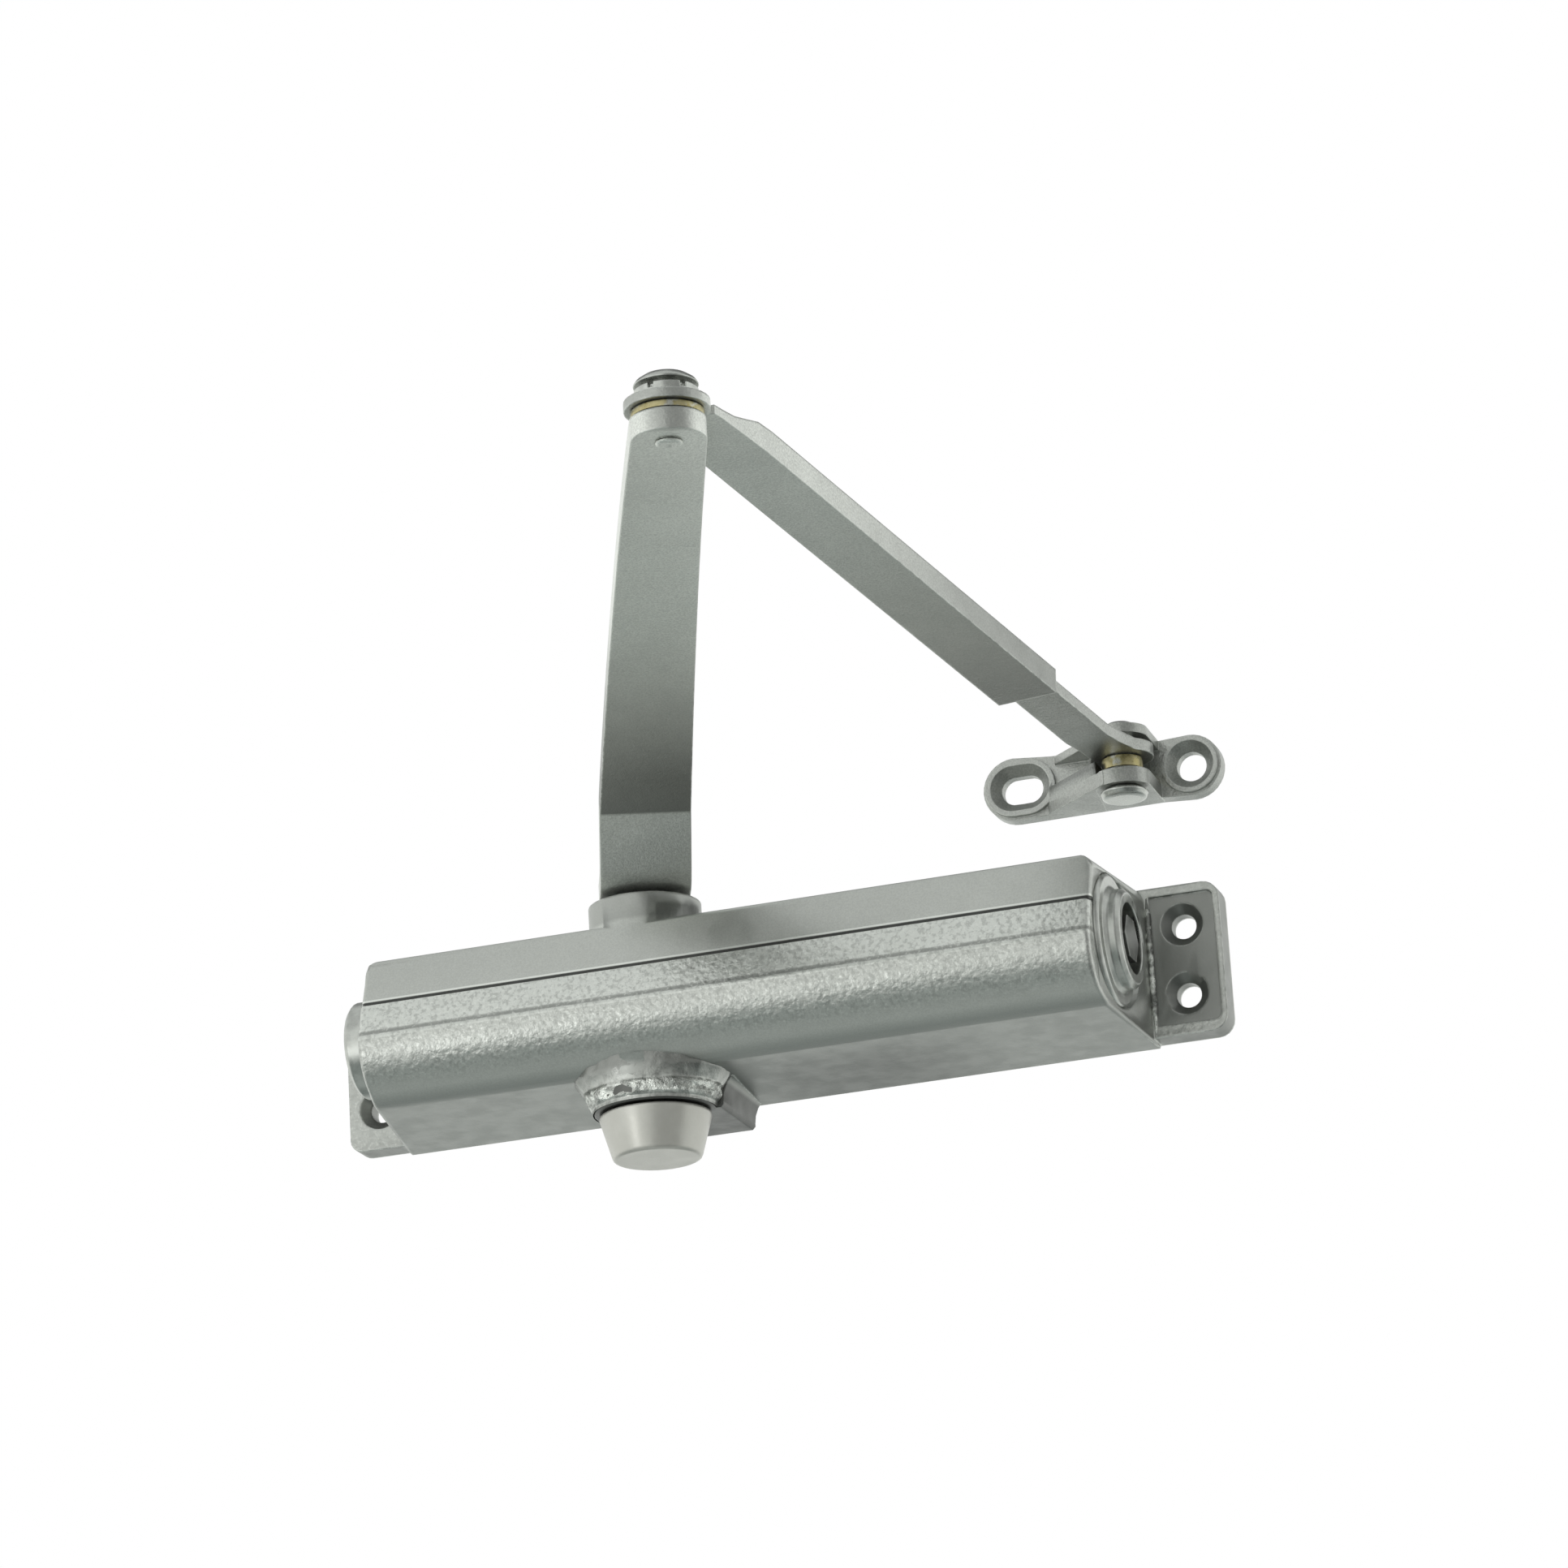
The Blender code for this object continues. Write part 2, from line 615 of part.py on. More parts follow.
def make_closing_spring():
    """Helical compression spring between the piston head and the spring seat."""
    start = PISTON_RIGHT + GAP + SPRING_WIRE
    end = SEAT_X - GAP - SPRING_WIRE
    curve = bpy.data.curves.new("spring", "CURVE")
    curve.dimensions = "3D"
    curve.bevel_depth = SPRING_WIRE * MM
    curve.bevel_resolution = 2
    curve.use_fill_caps = True
    spline = curve.splines.new("POLY")
    steps = SPRING_TURNS * 15
    spline.points.add(steps)
    for i, point in enumerate(spline.points):
        angle = 2 * math.pi * SPRING_TURNS * i / steps
        y = SPRING_RADIUS * math.cos(angle)
        z = SPRING_RADIUS * math.sin(angle)
        point.co = ((start + (end - start) * i / steps) * MM, y * MM, z * MM, 1.0)
    obj = bpy.data.objects.new("spring", curve)
    bpy.context.scene.collection.objects.link(obj)
    bpy.context.view_layer.update()
    mesh = moved(taken_mesh(obj), 0, BORE_Y, BORE_Z)
    smooth(piece("closing_spring", mesh, spring_steel()), 50)


def make_spring_seat():
    profile = [(0, SEAT_X + SEAT_THICK), (PISTON_RADIUS - 0.6, SEAT_X + SEAT_THICK),
               (PISTON_RADIUS - 0.6, SEAT_X), (10.0, SEAT_X), (9.4, SEAT_X - 5.0), (0, SEAT_X - 5.0)]
    seat = piece("spring_seat", along_x(turned(profile)), hardened_steel())
    cut(seat, along_x(drum(ADJUSTER_RADIUS + GAP, 60, 130, 32)), "thread")
    smooth(seat)


def make_adjusting_screw():
    """Screw on the cylinder's axis; its hex head sits in the socket of the right plug."""
    socket_floor = BODY_RIGHT - 0.5
    head = drum(6.6, socket_floor + GAP, socket_floor + 6.0, 6)
    mesh = along_x(drum(ADJUSTER_RADIUS, 66.0, socket_floor + 1.0, 32))
    moved(mesh, 0, -BORE_Y, -BORE_Z)
    screw = piece("adjusting_screw", mesh, bright_steel(), (0, BORE_Y, BORE_Z))
    join(screw, moved(along_x(head), 0, -BORE_Y, -BORE_Z), "hex_head")
    smooth(screw)


# ---------------------------------------------------------------- main arm

def arm_centreline():
    """Lower face of the arm in its own plane: hub, crank, gentle arch, elbow pad."""
    crank_end = (31.0, ARM_HUB_Z + 15.6)
    pad_start = ARM_LENGTH - 12.0
    rise = ARM_ELBOW_Z - crank_end[1]
    span = pad_start - crank_end[0]
    crank = [(-13.5, ARM_HUB_Z), (11.0, ARM_HUB_Z), (15.0, ARM_HUB_Z + 1.2), (19.0, ARM_HUB_Z + 4.2)]
    arch = []
    for i in range(13):
        t = i / 12
        arch.append((crank_end[0] + span * t, crank_end[1] + rise * (2 * t - t * t)))
    return [*crank, *arch, (ARM_LENGTH + 11.0, ARM_ELBOW_Z)]


def ribbon(line, thickness):
    """Closed outline of a strip that lies above a polyline."""
    upper = []
    for i, (x, y) in enumerate(line):
        before = line[max(i - 1, 0)]
        after = line[min(i + 1, len(line) - 1)]
        along = Vector((after[0] - before[0], after[1] - before[1])).normalized()
        upper.append((x - along.y * thickness, y + along.x * thickness))
    return [*line, *reversed(upper)]


def arm_plan():
    """Arm seen from above: round hub, straight taper, round elbow end."""
    hub, elbow = ARM_HUB_WIDTH / 2, ARM_ELBOW_WIDTH / 2
    return [*arc(0, 0, hub, 270, 90, 20), (30, hub), *arc(ARM_LENGTH, 0, elbow, 90, -90, 18), (30, -hub)]


def make_main_arm():
    side = plate_y(ribbon(arm_centreline(), ARM_THICK), -30, 30)
    arm = piece("main_arm", side, painted_steel(), (SPINDLE_X, SPINDLE_Y, 0), ARM_ANGLE)
    shape(arm, "INTERSECT", plate_z(arm_plan(), 0, 120), "plan")
    square = square_end(10, 60, SQUARE_SIDE + 2 * GAP, SQUARE_SIDE + 2 * GAP)
    square.transform(Matrix.Rotation(-ARM_ANGLE, 4, "Z"))
    cut(arm, square, "hub_square")
    cut(arm, moved(drum(TENON_RADIUS + GAP, 20, 120, 32), ARM_LENGTH), "elbow_hole")
    smooth(arm, 25)


def make_arm_fixings():
    at = (SPINDLE_X, SPINDLE_Y, 0)
    top = ARM_HUB_Z + ARM_THICK + GAP
    smooth(piece("arm_washer", ring(9.4, 3.6, top, top + 1.4), bright_steel(), at))
    head = top + 1.4 + GAP
    profile = [(0, head + 4.2), (4.5, head + 4.0), (6.6, head + 3.0), (7.2, head + 1.6), (7.2, head),
               (3.0, head), (3.0, 19.0), (0, 19.0)]
    screw = piece("arm_screw", turned(profile, 40), bright_steel(), at)
    cut(screw, block(-9, 9, -0.6, 0.6, head + 2.6, head + 6), "driver_slot")
    smooth(screw)


# ---------------------------------------------------------------- elbow

def make_elbow():
    """Rivet, notched collar and washer that join main arm and forearm."""
    at = (ELBOW.x, ELBOW.y, 0)
    arm_top = ARM_ELBOW_Z + ARM_THICK
    washer = ring(8.9, ELBOW_PIN_RADIUS + GAP, arm_top + GAP, EYE_Z - GAP)
    smooth(piece("elbow_washer", washer, yellow_zinc(), at))
    collar_bottom = EYE_Z + PLATE + GAP
    collar_top = collar_bottom + 2.5
    collar = piece("elbow_collar", ring(7.8, ELBOW_PIN_RADIUS + GAP, collar_bottom, collar_top),
                   bright_steel(), at)
    for index in range(6):
        notch = block(6.6, 9.0, -0.7, 0.7, collar_bottom + 1.2, collar_top + 1)
        notch.transform(Matrix.Rotation(math.radians(60 * index + 20), 4, "Z"))
        cut(collar, notch, f"notch_{index}")
    smooth(collar)
    head = collar_top + 1.1
    peen = ARM_ELBOW_Z - GAP
    profile = [(0, head + 3.4), (3.0, head + 3.2), (5.6, head + 2.4), (7.3, head + 1.2), (7.9, head + 0.3),
               (7.8, head), (ELBOW_PIN_RADIUS, head), (ELBOW_PIN_RADIUS, arm_top + GAP),
               (TENON_RADIUS, arm_top + GAP), (TENON_RADIUS, peen), (3.4, peen), (3.2, peen - 0.4),
               (2.4, peen - 0.8), (1.0, peen - 0.8), (0, peen - 0.4)]
    smooth(piece("elbow_pin", turned(profile), bright_steel(), at))


# ---------------------------------------------------------------- forearm

def channel_floor(s):
    """Height of the channel's underside at distance s from the elbow."""
    return CHANNEL_START_Z + (s - CHANNEL_START) * FOREARM_SLOPE


def make_forearm_channel():
    half = CHANNEL_WIDTH / 2
    end_floor = channel_floor(CHANNEL_END)
    at = (ELBOW.x, ELBOW.y, 0)
    wall = CHANNEL_HEIGHT
    side = [(8.0, EYE_Z), (11.5, EYE_Z), (CHANNEL_START, CHANNEL_START_Z), (CHANNEL_END, end_floor),
            (CHANNEL_END + 0.6, end_floor + wall), (37.0, channel_floor(37.0) + wall),
            (30.0, EYE_Z + wall - 1.8), (24.0, EYE_Z + wall - 3.0), (18.0, EYE_Z + PLATE + 0.2),
            (12.5, EYE_Z + PLATE), (8.0, EYE_Z + PLATE)]
    channel = piece("forearm_channel", plate_y(side, -half, half), painted_steel(), at, FOREARM_ANGLE)
    neck = [*arc(0, 0, EYE_RADIUS, 46, 314, 26), (10.6, 0.15 - half), (10.6, half - 0.15)]
    join(channel, plate_z(neck, EYE_Z, EYE_Z + PLATE), "eye")
    inner = half - CHANNEL_WALL
    far = CHANNEL_END + 9
    groove = [(12.5, EYE_Z + PLATE), (CHANNEL_START + 0.3, CHANNEL_START_Z + PLATE),
              (far, channel_floor(far) + PLATE), (far, EYE_Z + 20), (12.5, EYE_Z + 20)]
    cut(channel, plate_y(groove, -inner, inner), "groove")
    cut(channel, through_wall(drum(LOCK_RADIUS + GAP, 0, 12, 24)), "lock_hole")
    cut(channel, drum(ELBOW_PIN_RADIUS + GAP, 20, 120, 32), "eye_hole")
    smooth(channel)


def make_forearm_rod():
    """Flat bar that slides in the channel and ends in the foot's eye."""
    half = CHANNEL_WIDTH / 2 - CHANNEL_WALL - GAP
    lift = PLATE + GAP + 0.05
    end = channel_floor(ROD_BEND) + lift
    line = [(ROD_START, channel_floor(ROD_START) + lift), (ROD_BEND, end), (FOREARM_LENGTH + 12, end)]
    at = (ELBOW.x, ELBOW.y, 0)
    rod = piece("forearm_rod", plate_y(ribbon(line, ROD_THICK), -30, 30), painted_steel(), at,
                FOREARM_ANGLE)
    start = ROD_START + 2
    plan = [(start, -half), (FOREARM_LENGTH - 14, -half),
            *arc(FOREARM_LENGTH, 0, ROD_EYE_RADIUS, -128, 128, 22), (FOREARM_LENGTH - 14, half), (start, half)]
    shape(rod, "INTERSECT", plate_z(plan, 0, 120), "plan")
    cut(rod, moved(drum(FOOT_PIN_RADIUS + GAP, 20, 120, 32), FOREARM_LENGTH), "eye_hole")
    smooth(rod, 25)


LOCK_S = 165.0
LOCK_RADIUS = 1.9


def through_wall(mesh):
    """Lays a body made about Z into the channel's far wall, pointing out of it."""
    mesh.transform(Matrix.Rotation(math.radians(-90), 4, "X"))
    return moved(mesh, LOCK_S, 0, channel_floor(LOCK_S) + PLATE + GAP + ROD_THICK / 2)


def make_length_lock():
    """Round nut on the channel's wall and the set screw in it that presses on the rod."""
    outside = CHANNEL_WIDTH / 2 + GAP
    nut = through_wall(ring(2.8, LOCK_RADIUS + GAP, outside, outside + 1.1, 24))
    at = (ELBOW.x, ELBOW.y, 0)
    smooth(piece("lock_nut", nut, bright_steel(), at, FOREARM_ANGLE))
    tip = CHANNEL_WIDTH / 2 - CHANNEL_WALL
    head = outside + 0.9
    profile = [(0, head), (LOCK_RADIUS, head), (LOCK_RADIUS, tip + 0.5), (LOCK_RADIUS - 0.5, tip), (0, tip)]
    mesh = turned(profile, 24)
    mesh.transform(Matrix.Rotation(math.radians(-90), 4, "X"))
    offset = Matrix.Rotation(FOREARM_ANGLE, 3, "Z") @ Vector((LOCK_S, 0, 0))
    height = channel_floor(LOCK_S) + PLATE + GAP + ROD_THICK / 2
    origin = (ELBOW.x + offset.x, ELBOW.y + offset.y, height)
    screw = piece("lock_screw", mesh, hardened_steel(), origin, FOREARM_ANGLE)
    cut(screw, block(-4, 4, head - 0.9, head + 1, -0.4, 0.4), "driver_slot")
    smooth(screw)


# ---------------------------------------------------------------- foot

ROD_EYE_Z = channel_floor(ROD_BEND) + PLATE + GAP + 0.05  # underside of the rod's eye
BUSH_LOW = ROD_EYE_Z - 4.3
LUG_LOW = BUSH_LOW - 4.2
LUG_HIGH = ROD_EYE_Z + ROD_THICK + 4.8


def foot_hole(x, z, radius, reach):
    """Cutter for a countersunk screw hole, drawn out along X by reach on each side."""
    rim = radius + 2.6
    mesh = turned([(0, 3.0), (rim, 3.0), (rim, 0.0), (radius, -3.0), (radius, -12.0), (0, -12.0)], 32)
    for vertex in mesh.vertices:
        vertex.co.x += math.copysign(reach * MM, vertex.co.x) if abs(vertex.co.x) > 1e-6 else 0.0
    mesh.transform(Matrix.Rotation(math.radians(90), 4, "X"))
    return moved(mesh, x - FOOT_PIN.x, -FOOT_THICK - 1.4 - FOOT_PIN.y, z)


def make_foot_bracket():
    """Shoe: plate on the wall, a raised rim at each screw hole, two lugs for the pin."""
    px, py = FOOT_PIN
    slot, hole = SLOT_X - px, ROUND_X - px
    front, back = -FOOT_THICK - py, -py
    low, high = FOOT_Z - 8.4, FOOT_Z + 7.6
    plan = [*arc(slot - 1.8, FOOT_Z + 0.3, 8.8, 90, 270, 16), (slot + 9, low), (hole - 9, low),
            *arc(hole, FOOT_Z - 0.5, 8.5, -90, 90, 16), (hole - 9, high), (slot + 9, high + 0.4)]
    foot = piece("foot_bracket", plate_y(plan, front, back), painted_casting(), (px, py, 0))
    for name, x, z, reach in (("slot_rim", slot, FOOT_Z + 0.2, 2.0), ("round_rim", hole, FOOT_Z - 0.5, 0.0)):
        rim = [*arc(x - reach, z, 7.9, 90, 270, 12), *arc(x + reach, z, 7.9, -90, 90, 12)]
        join(foot, plate_y(rim, front - 1.4, front + 1), name)
    lug = [*arc(0, 0, LUG_RADIUS, 180, 360, 16), (LUG_RADIUS - 0.4, back - 1.5), (-LUG_RADIUS - 2, back - 1.5)]
    join(foot, plate_z(lug, LUG_LOW, BUSH_LOW), "lower_lug")
    join(foot, plate_z(lug, LUG_HIGH - 2.6, LUG_HIGH), "upper_lug")
    lower_web = [(slot + 7.5, back - 1.7), (slot + 7.5, front - 1.0), (-4.0, -6.4), (0.0, back - 1.7)]
    gusset = [(slot + 7.6, back - 1.8), (slot + 7.6, front - 0.8), (-6.4, -4.2), (-6.4, back - 1.8)]
    upper_web = [(slot + 10.0, back - 1.9), (slot + 10.0, front - 0.6), (-6.0, -2.0), (0.0, back - 1.9)]
    join(foot, plate_z(lower_web, LUG_LOW + 0.2, BUSH_LOW - 0.2), "lower_web")
    join(foot, plate_z(gusset, LUG_LOW + 1.0, ROD_EYE_Z - 0.9), "gusset")
    join(foot, plate_z(upper_web, LUG_HIGH - 2.4, LUG_HIGH - 0.2), "upper_web")
    cut(foot, foot_hole(SLOT_X, FOOT_Z + 0.2, 3.9, 1.9), "slot")
    cut(foot, foot_hole(ROUND_X, FOOT_Z - 0.5, 4.1, 0.0), "round_hole")
    cut(foot, drum(FOOT_PIN_RADIUS + GAP, 20, 100, 32), "pin_hole")
    smooth(foot)


def make_foot_pin():
    at = (FOOT_PIN.x, FOOT_PIN.y, 0)
    r = FOOT_PIN_RADIUS
    low = LUG_LOW - GAP
    high = LUG_HIGH + GAP
    profile = [(0, high + 1.6), (3.4, high + 1.4), (5.0, high + 0.4), (5.0, high), (r, high), (r, low),
               (5.3, low), (5.3, low - 0.6), (6.5, low - 0.7), (6.5, low - 1.2), (5.9, low - 2.3),
               (4.6, low - 2.8), (0, low - 2.8)]
    smooth(piece("foot_pin", turned(profile), bright_steel(), at))
    bush = ring(5.5, r + GAP, BUSH_LOW + 0.9, ROD_EYE_Z - GAP)
    smooth(piece("foot_bush", bush, yellow_zinc(), at))


def main():
    clear_scene()
    make_housing()
    make_left_plug()
    make_right_plug()
    make_plug_seals()
    make_valves()
    make_pinion_shaft()
    make_spindle_fittings()
    make_pinion_cap()
    make_piston()
    make_check_valve()
    make_closing_spring()
    make_spring_seat()
    make_adjusting_screw()
    make_main_arm()
    make_arm_fixings()
    make_elbow()
    make_forearm_channel()
    make_forearm_rod()
    make_length_lock()
    make_foot_bracket()
    make_foot_pin()


main()
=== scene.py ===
"""Surface-mounted door closer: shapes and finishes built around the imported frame."""

import json
import math

import bmesh
import bpy
from mathutils import Matrix, Vector, noise
from mathutils.bvhtree import BVHTree

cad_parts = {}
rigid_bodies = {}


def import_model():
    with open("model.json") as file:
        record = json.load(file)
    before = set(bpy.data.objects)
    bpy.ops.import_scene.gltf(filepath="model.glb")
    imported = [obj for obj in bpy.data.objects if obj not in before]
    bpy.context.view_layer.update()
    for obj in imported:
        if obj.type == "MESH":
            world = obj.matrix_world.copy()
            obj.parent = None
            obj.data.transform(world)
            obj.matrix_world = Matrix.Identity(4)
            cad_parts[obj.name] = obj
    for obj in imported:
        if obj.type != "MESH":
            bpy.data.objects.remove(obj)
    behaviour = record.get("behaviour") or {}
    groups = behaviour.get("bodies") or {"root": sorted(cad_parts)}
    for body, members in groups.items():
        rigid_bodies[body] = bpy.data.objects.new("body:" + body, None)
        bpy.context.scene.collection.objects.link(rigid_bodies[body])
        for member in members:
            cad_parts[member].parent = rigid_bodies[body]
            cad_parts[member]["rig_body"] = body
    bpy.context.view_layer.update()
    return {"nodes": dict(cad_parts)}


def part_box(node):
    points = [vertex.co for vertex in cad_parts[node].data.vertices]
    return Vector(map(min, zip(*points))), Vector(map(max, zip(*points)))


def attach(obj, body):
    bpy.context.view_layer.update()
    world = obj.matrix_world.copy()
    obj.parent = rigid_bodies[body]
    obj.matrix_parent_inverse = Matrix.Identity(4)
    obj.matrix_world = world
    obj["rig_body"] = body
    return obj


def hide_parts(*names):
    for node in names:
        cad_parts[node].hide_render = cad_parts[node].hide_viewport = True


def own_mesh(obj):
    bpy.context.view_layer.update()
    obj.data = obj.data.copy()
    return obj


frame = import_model()
NODES = frame["nodes"]
MM = 0.001
DOWN = Vector((0, 0, -1))
UP = Vector((0, 0, 1))


# ---------------------------------------------------------------- places, from the frame

def centre(node):
    low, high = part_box(node)
    return (low + high) / 2


def cad_tree(node):
    """Search tree of a CAD node's surface, for finding places on it."""
    bm = bmesh.new()
    bm.from_mesh(NODES[node].data)
    tree = BVHTree.FromBMesh(bm)
    bm.free()
    return tree


CASTING = cad_tree("housing")


def casting_at(x, y, z, direction):
    """Where a ray from a point first meets the casting."""
    return CASTING.ray_cast(Vector((x, y, z)), direction)[0]


SPINDLE = centre("pinion_shaft")
BORE = centre("piston")
HOUSING_LOW, HOUSING_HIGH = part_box("housing")
FRONT_FACE = HOUSING_LOW.y
BODY_TOP = casting_at(0, SPINDLE.y, HOUSING_HIGH.z + MM, DOWN).z
BODY_FLOOR = casting_at(0, -12 * MM, HOUSING_LOW.z - MM, UP).z
CAP_LOW, CAP_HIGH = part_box("pinion_cap")
CAP_RADIUS = (CAP_HIGH.x - CAP_LOW.x) / 2
PEENED_END_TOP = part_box("elbow_pin")[0].z + 1.3 * MM

# The casting's own details, at the places that the CAD gives them
GROOVE = 6.2 * MM  # height of the groove's lower edge along the front
STEP = -3.0 * MM  # height of the shallow step below it
TURN_TOP = -15.0 * MM  # height at which the front starts to turn under
FLANGE_FACE = -8.3 * MM
NEAR_BACK = -1.5 * MM  # just in front of the back plane
LEFT_FLANGE = -108.5 * MM
RIGHT_FLANGE = 105.5 * MM


# ---------------------------------------------------------------- node helpers

class Nodes:
    """A node tree being built: makes nodes and joins them in one call."""

    def __init__(self, tree):
        self.tree = tree

    def node(self, kind, settings=None, **inputs):
        """A node; inputs are numbers or sockets, by name with _ for a space, or i0, i1 by place."""
        made = self.tree.nodes.new(kind)
        for key, value in (settings or {}).items():
            setattr(made, key, value)
        for key, value in inputs.items():
            by_place = key[0] == "i" and key[1:].isdigit()
            self.link(value, made.inputs[int(key[1:]) if by_place else key.replace("_", " ")])
        return made

    def link(self, value, socket):
        if isinstance(value, bpy.types.NodeSocket):
            self.tree.links.new(value, socket)
        else:
            socket.default_value = value

    def math(self, operation, a, b=0.0):
        return self.node("ShaderNodeMath", {"operation": operation}, i0=a, i1=b).outputs[0]

    def opposite(self, mask):
        return self.math("SUBTRACT", 1.0, mask)

    def both(self, *masks):
        """1 where all the masks are 1."""
        result = masks[0]
        for mask in masks[1:]:
            result = self.math("MULTIPLY", result, mask)
        return result

    def either(self, a, b):
        """1 where one of the masks is 1."""
        return self.math("MAXIMUM", a, b)

    def blend(self, a, b, share):
        """a and b added, with b's share of the whole."""
        return self.math("ADD", self.math("MULTIPLY", a, 1 - share), self.math("MULTIPLY", b, share))

    def mix(self, share, a, b):
        return self.node("ShaderNodeMix", {"data_type": "RGBA"}, i0=share, i6=a, i7=b).outputs[2]

    def ease(self, value, low, high, to_low=0.0, to_high=1.0):
        """value eased from to_low at low to to_high at high."""
        node = self.node("ShaderNodeMapRange", {"interpolation_type": "SMOOTHSTEP"}, Value=value,
                         From_Min=low, From_Max=high, To_Min=to_low, To_Max=to_high)
        return node.outputs["Result"]

    def band(self, value, low, high, soft):
        """1 where value is between low and high, easing off over soft on each side."""
        return self.both(self.ease(value, low - soft, low), self.ease(value, high + soft, high))


class Look(Nodes):
    """A material being built."""

    def __init__(self, name):
        self.material = bpy.data.materials.new(name)
        self.material.use_nodes = True
        super().__init__(self.material.node_tree)
        self.shader = self.tree.nodes["Principled BSDF"]
        self.place = self.node("ShaderNodeTexCoord").outputs["Object"]

    def axis(self, name):
        return self.node("ShaderNodeSeparateXYZ", Vector=self.place).outputs[name]

    def along(self, direction):
        """Distance from the origin along a direction."""
        node = self.node("ShaderNodeVectorMath", {"operation": "DOT_PRODUCT"},
                         i0=self.place, i1=tuple(direction))
        return node.outputs["Value"]

    def noise(self, size_mm, detail=3.0, rough=0.55):
        """Noise with features about size_mm across, from 0 to 1."""
        node = self.node("ShaderNodeTexNoise", Vector=self.place, Scale=1000.0 / size_mm,
                         Detail=detail, Roughness=rough)
        return node.outputs["Fac"]

    def flake(self):
        """Grain of the aluminium flakes in the paint."""
        return self.noise(0.5, 2.0, 0.7)

    def pebbles(self, size_mm):
        """Rounded bumps about size_mm across, 1 at their tops."""
        node = self.node("ShaderNodeTexVoronoi", {"feature": "SMOOTH_F1"}, Vector=self.place,
                         Scale=1000.0 / size_mm, Smoothness=0.6)
        return self.opposite(node.outputs["Distance"])

    def soft_edges(self, radius_mm):
        """Normal that turns over each edge as if it were rounded."""
        radius = self.math("MULTIPLY", radius_mm, MM)
        return self.node("ShaderNodeBevel", {"samples": 6}, Radius=radius).outputs["Normal"]

    def edge_mask(self, rounded):
        """1 along the edges, 0 on flat faces."""
        flat = self.node("ShaderNodeNewGeometry").outputs["Normal"]
        same = self.node("ShaderNodeVectorMath", {"operation": "DOT_PRODUCT"}, i0=rounded, i1=flat)
        return self.ease(same.outputs["Value"], 0.985, 0.86)

    def bump(self, height, depth_mm, normal=None):
        node = self.node("ShaderNodeBump", Height=height, Distance=depth_mm * MM)
        if normal is not None:
            self.link(normal, node.inputs["Normal"])
        return node.outputs["Normal"]

    def finish(self, colour, roughness, metallic, normal):
        self.link(colour, self.shader.inputs["Base Color"])
        self.link(roughness, self.shader.inputs["Roughness"])
        self.shader.inputs["Metallic"].default_value = metallic
        self.link(normal, self.shader.inputs["Normal"])
        return self.material


# ---------------------------------------------------------------- painted finishes

PAINT_METALLIC = 0.88


def grey(value):
    """Neutral silver with a trace of green, as aluminium paint has."""
    return (value * 0.985, value * 1.01, value * 0.96, 1)


def paint_arm_shade(look, colour, direction, tip, shade_from, shade_to, end, share):
    """Arm colour with painted shade: greyer beyond the tip, darkening from the first to the second of the
    next two places, less past the end.
    """
    along = look.along(direction)
    # painted shade on the arm's end past the tip
    colour = look.mix(look.ease(along, tip, tip + 3 * MM, 0.0, 0.7), colour, grey(0.36))
    short_of_end = look.ease(along, end - 0.5 * MM, end + 0.5 * MM, 0.3, 1.0)
    # painted shade darkening along the arm, weaker past the end
    shade_mask = look.both(look.ease(along, shade_from, shade_to, 0.0, share), short_of_end)
    return look.mix(shade_mask, colour, grey(0.22))


def silver_paint(name, tone, edge_mm=0.8, arm_shading=None):
    """Sprayed silver paint: fine flake, faint clouds, edges lightened as worn paint and painted highlight.

    The places along an arm, if given, set where its painted shade falls.
    """
    look = Look(name)
    flake = look.flake()
    cloud = look.noise(26.0, 3.0, 0.5)
    rounded = look.soft_edges(edge_mm)
    shade = look.blend(flake, cloud, 0.25)
    colour = look.mix(look.ease(shade, 0.36, 0.64), grey(tone * 0.76), grey(tone))
    if arm_shading:
        colour = paint_arm_shade(look, colour, **arm_shading)
    # edges lightened, as worn paint and as painted highlight
    wear_and_edge_highlight = look.both(look.edge_mask(rounded), look.ease(look.noise(3.0), 0.25, 0.60))
    colour = look.mix(wear_and_edge_highlight, colour, grey(0.84))
    roughness = look.ease(look.noise(7.0), 0.3, 0.7, 0.32, 0.40)
    peel = look.blend(look.noise(1.3, 2.0), flake, 0.5)
    return look.finish(colour, roughness, PAINT_METALLIC, look.bump(peel, 0.17, rounded))


def front_masks(look, y, z):
    """Masks of the strips along the front: groove and step, painted in shade; lip over the groove and brow
    under the step, painted as highlights; smooth upper strip.
    """
    in_front = look.ease(y, -40 * MM, -42 * MM)

    def strip(low, high, soft):
        return look.both(in_front, look.band(z, low, high, soft))

    groove = strip(GROOVE - 0.2 * MM, GROOVE + 0.75 * MM, 0.1 * MM)
    lip = strip(GROOVE + 1.0 * MM, GROOVE + 1.35 * MM, 0.2 * MM)
    step = strip(STEP + 0.2 * MM, STEP + 0.9 * MM, 0.5 * MM)
    brow = strip(STEP - 1.1 * MM, STEP - 0.4 * MM, 0.4 * MM)
    upper = strip(STEP + 0.9 * MM, GROOVE - 0.3 * MM, 0.3 * MM)
    return groove, lip, step, brow, upper


def boss_masks(look, x, z):
    """Masks of the upper boss, and of the lower boss with the block beside it, both painted in shade."""
    between_flanges = look.ease(look.math("ABSOLUTE", x), 70 * MM, 60 * MM)
    upper_boss_shade = look.ease(z, BODY_TOP, BODY_TOP + 1.5 * MM)
    below_floor = look.ease(z, BODY_FLOOR - 0.3 * MM, BODY_FLOOR - 1.5 * MM)
    return upper_boss_shade, look.both(below_floor, between_flanges)


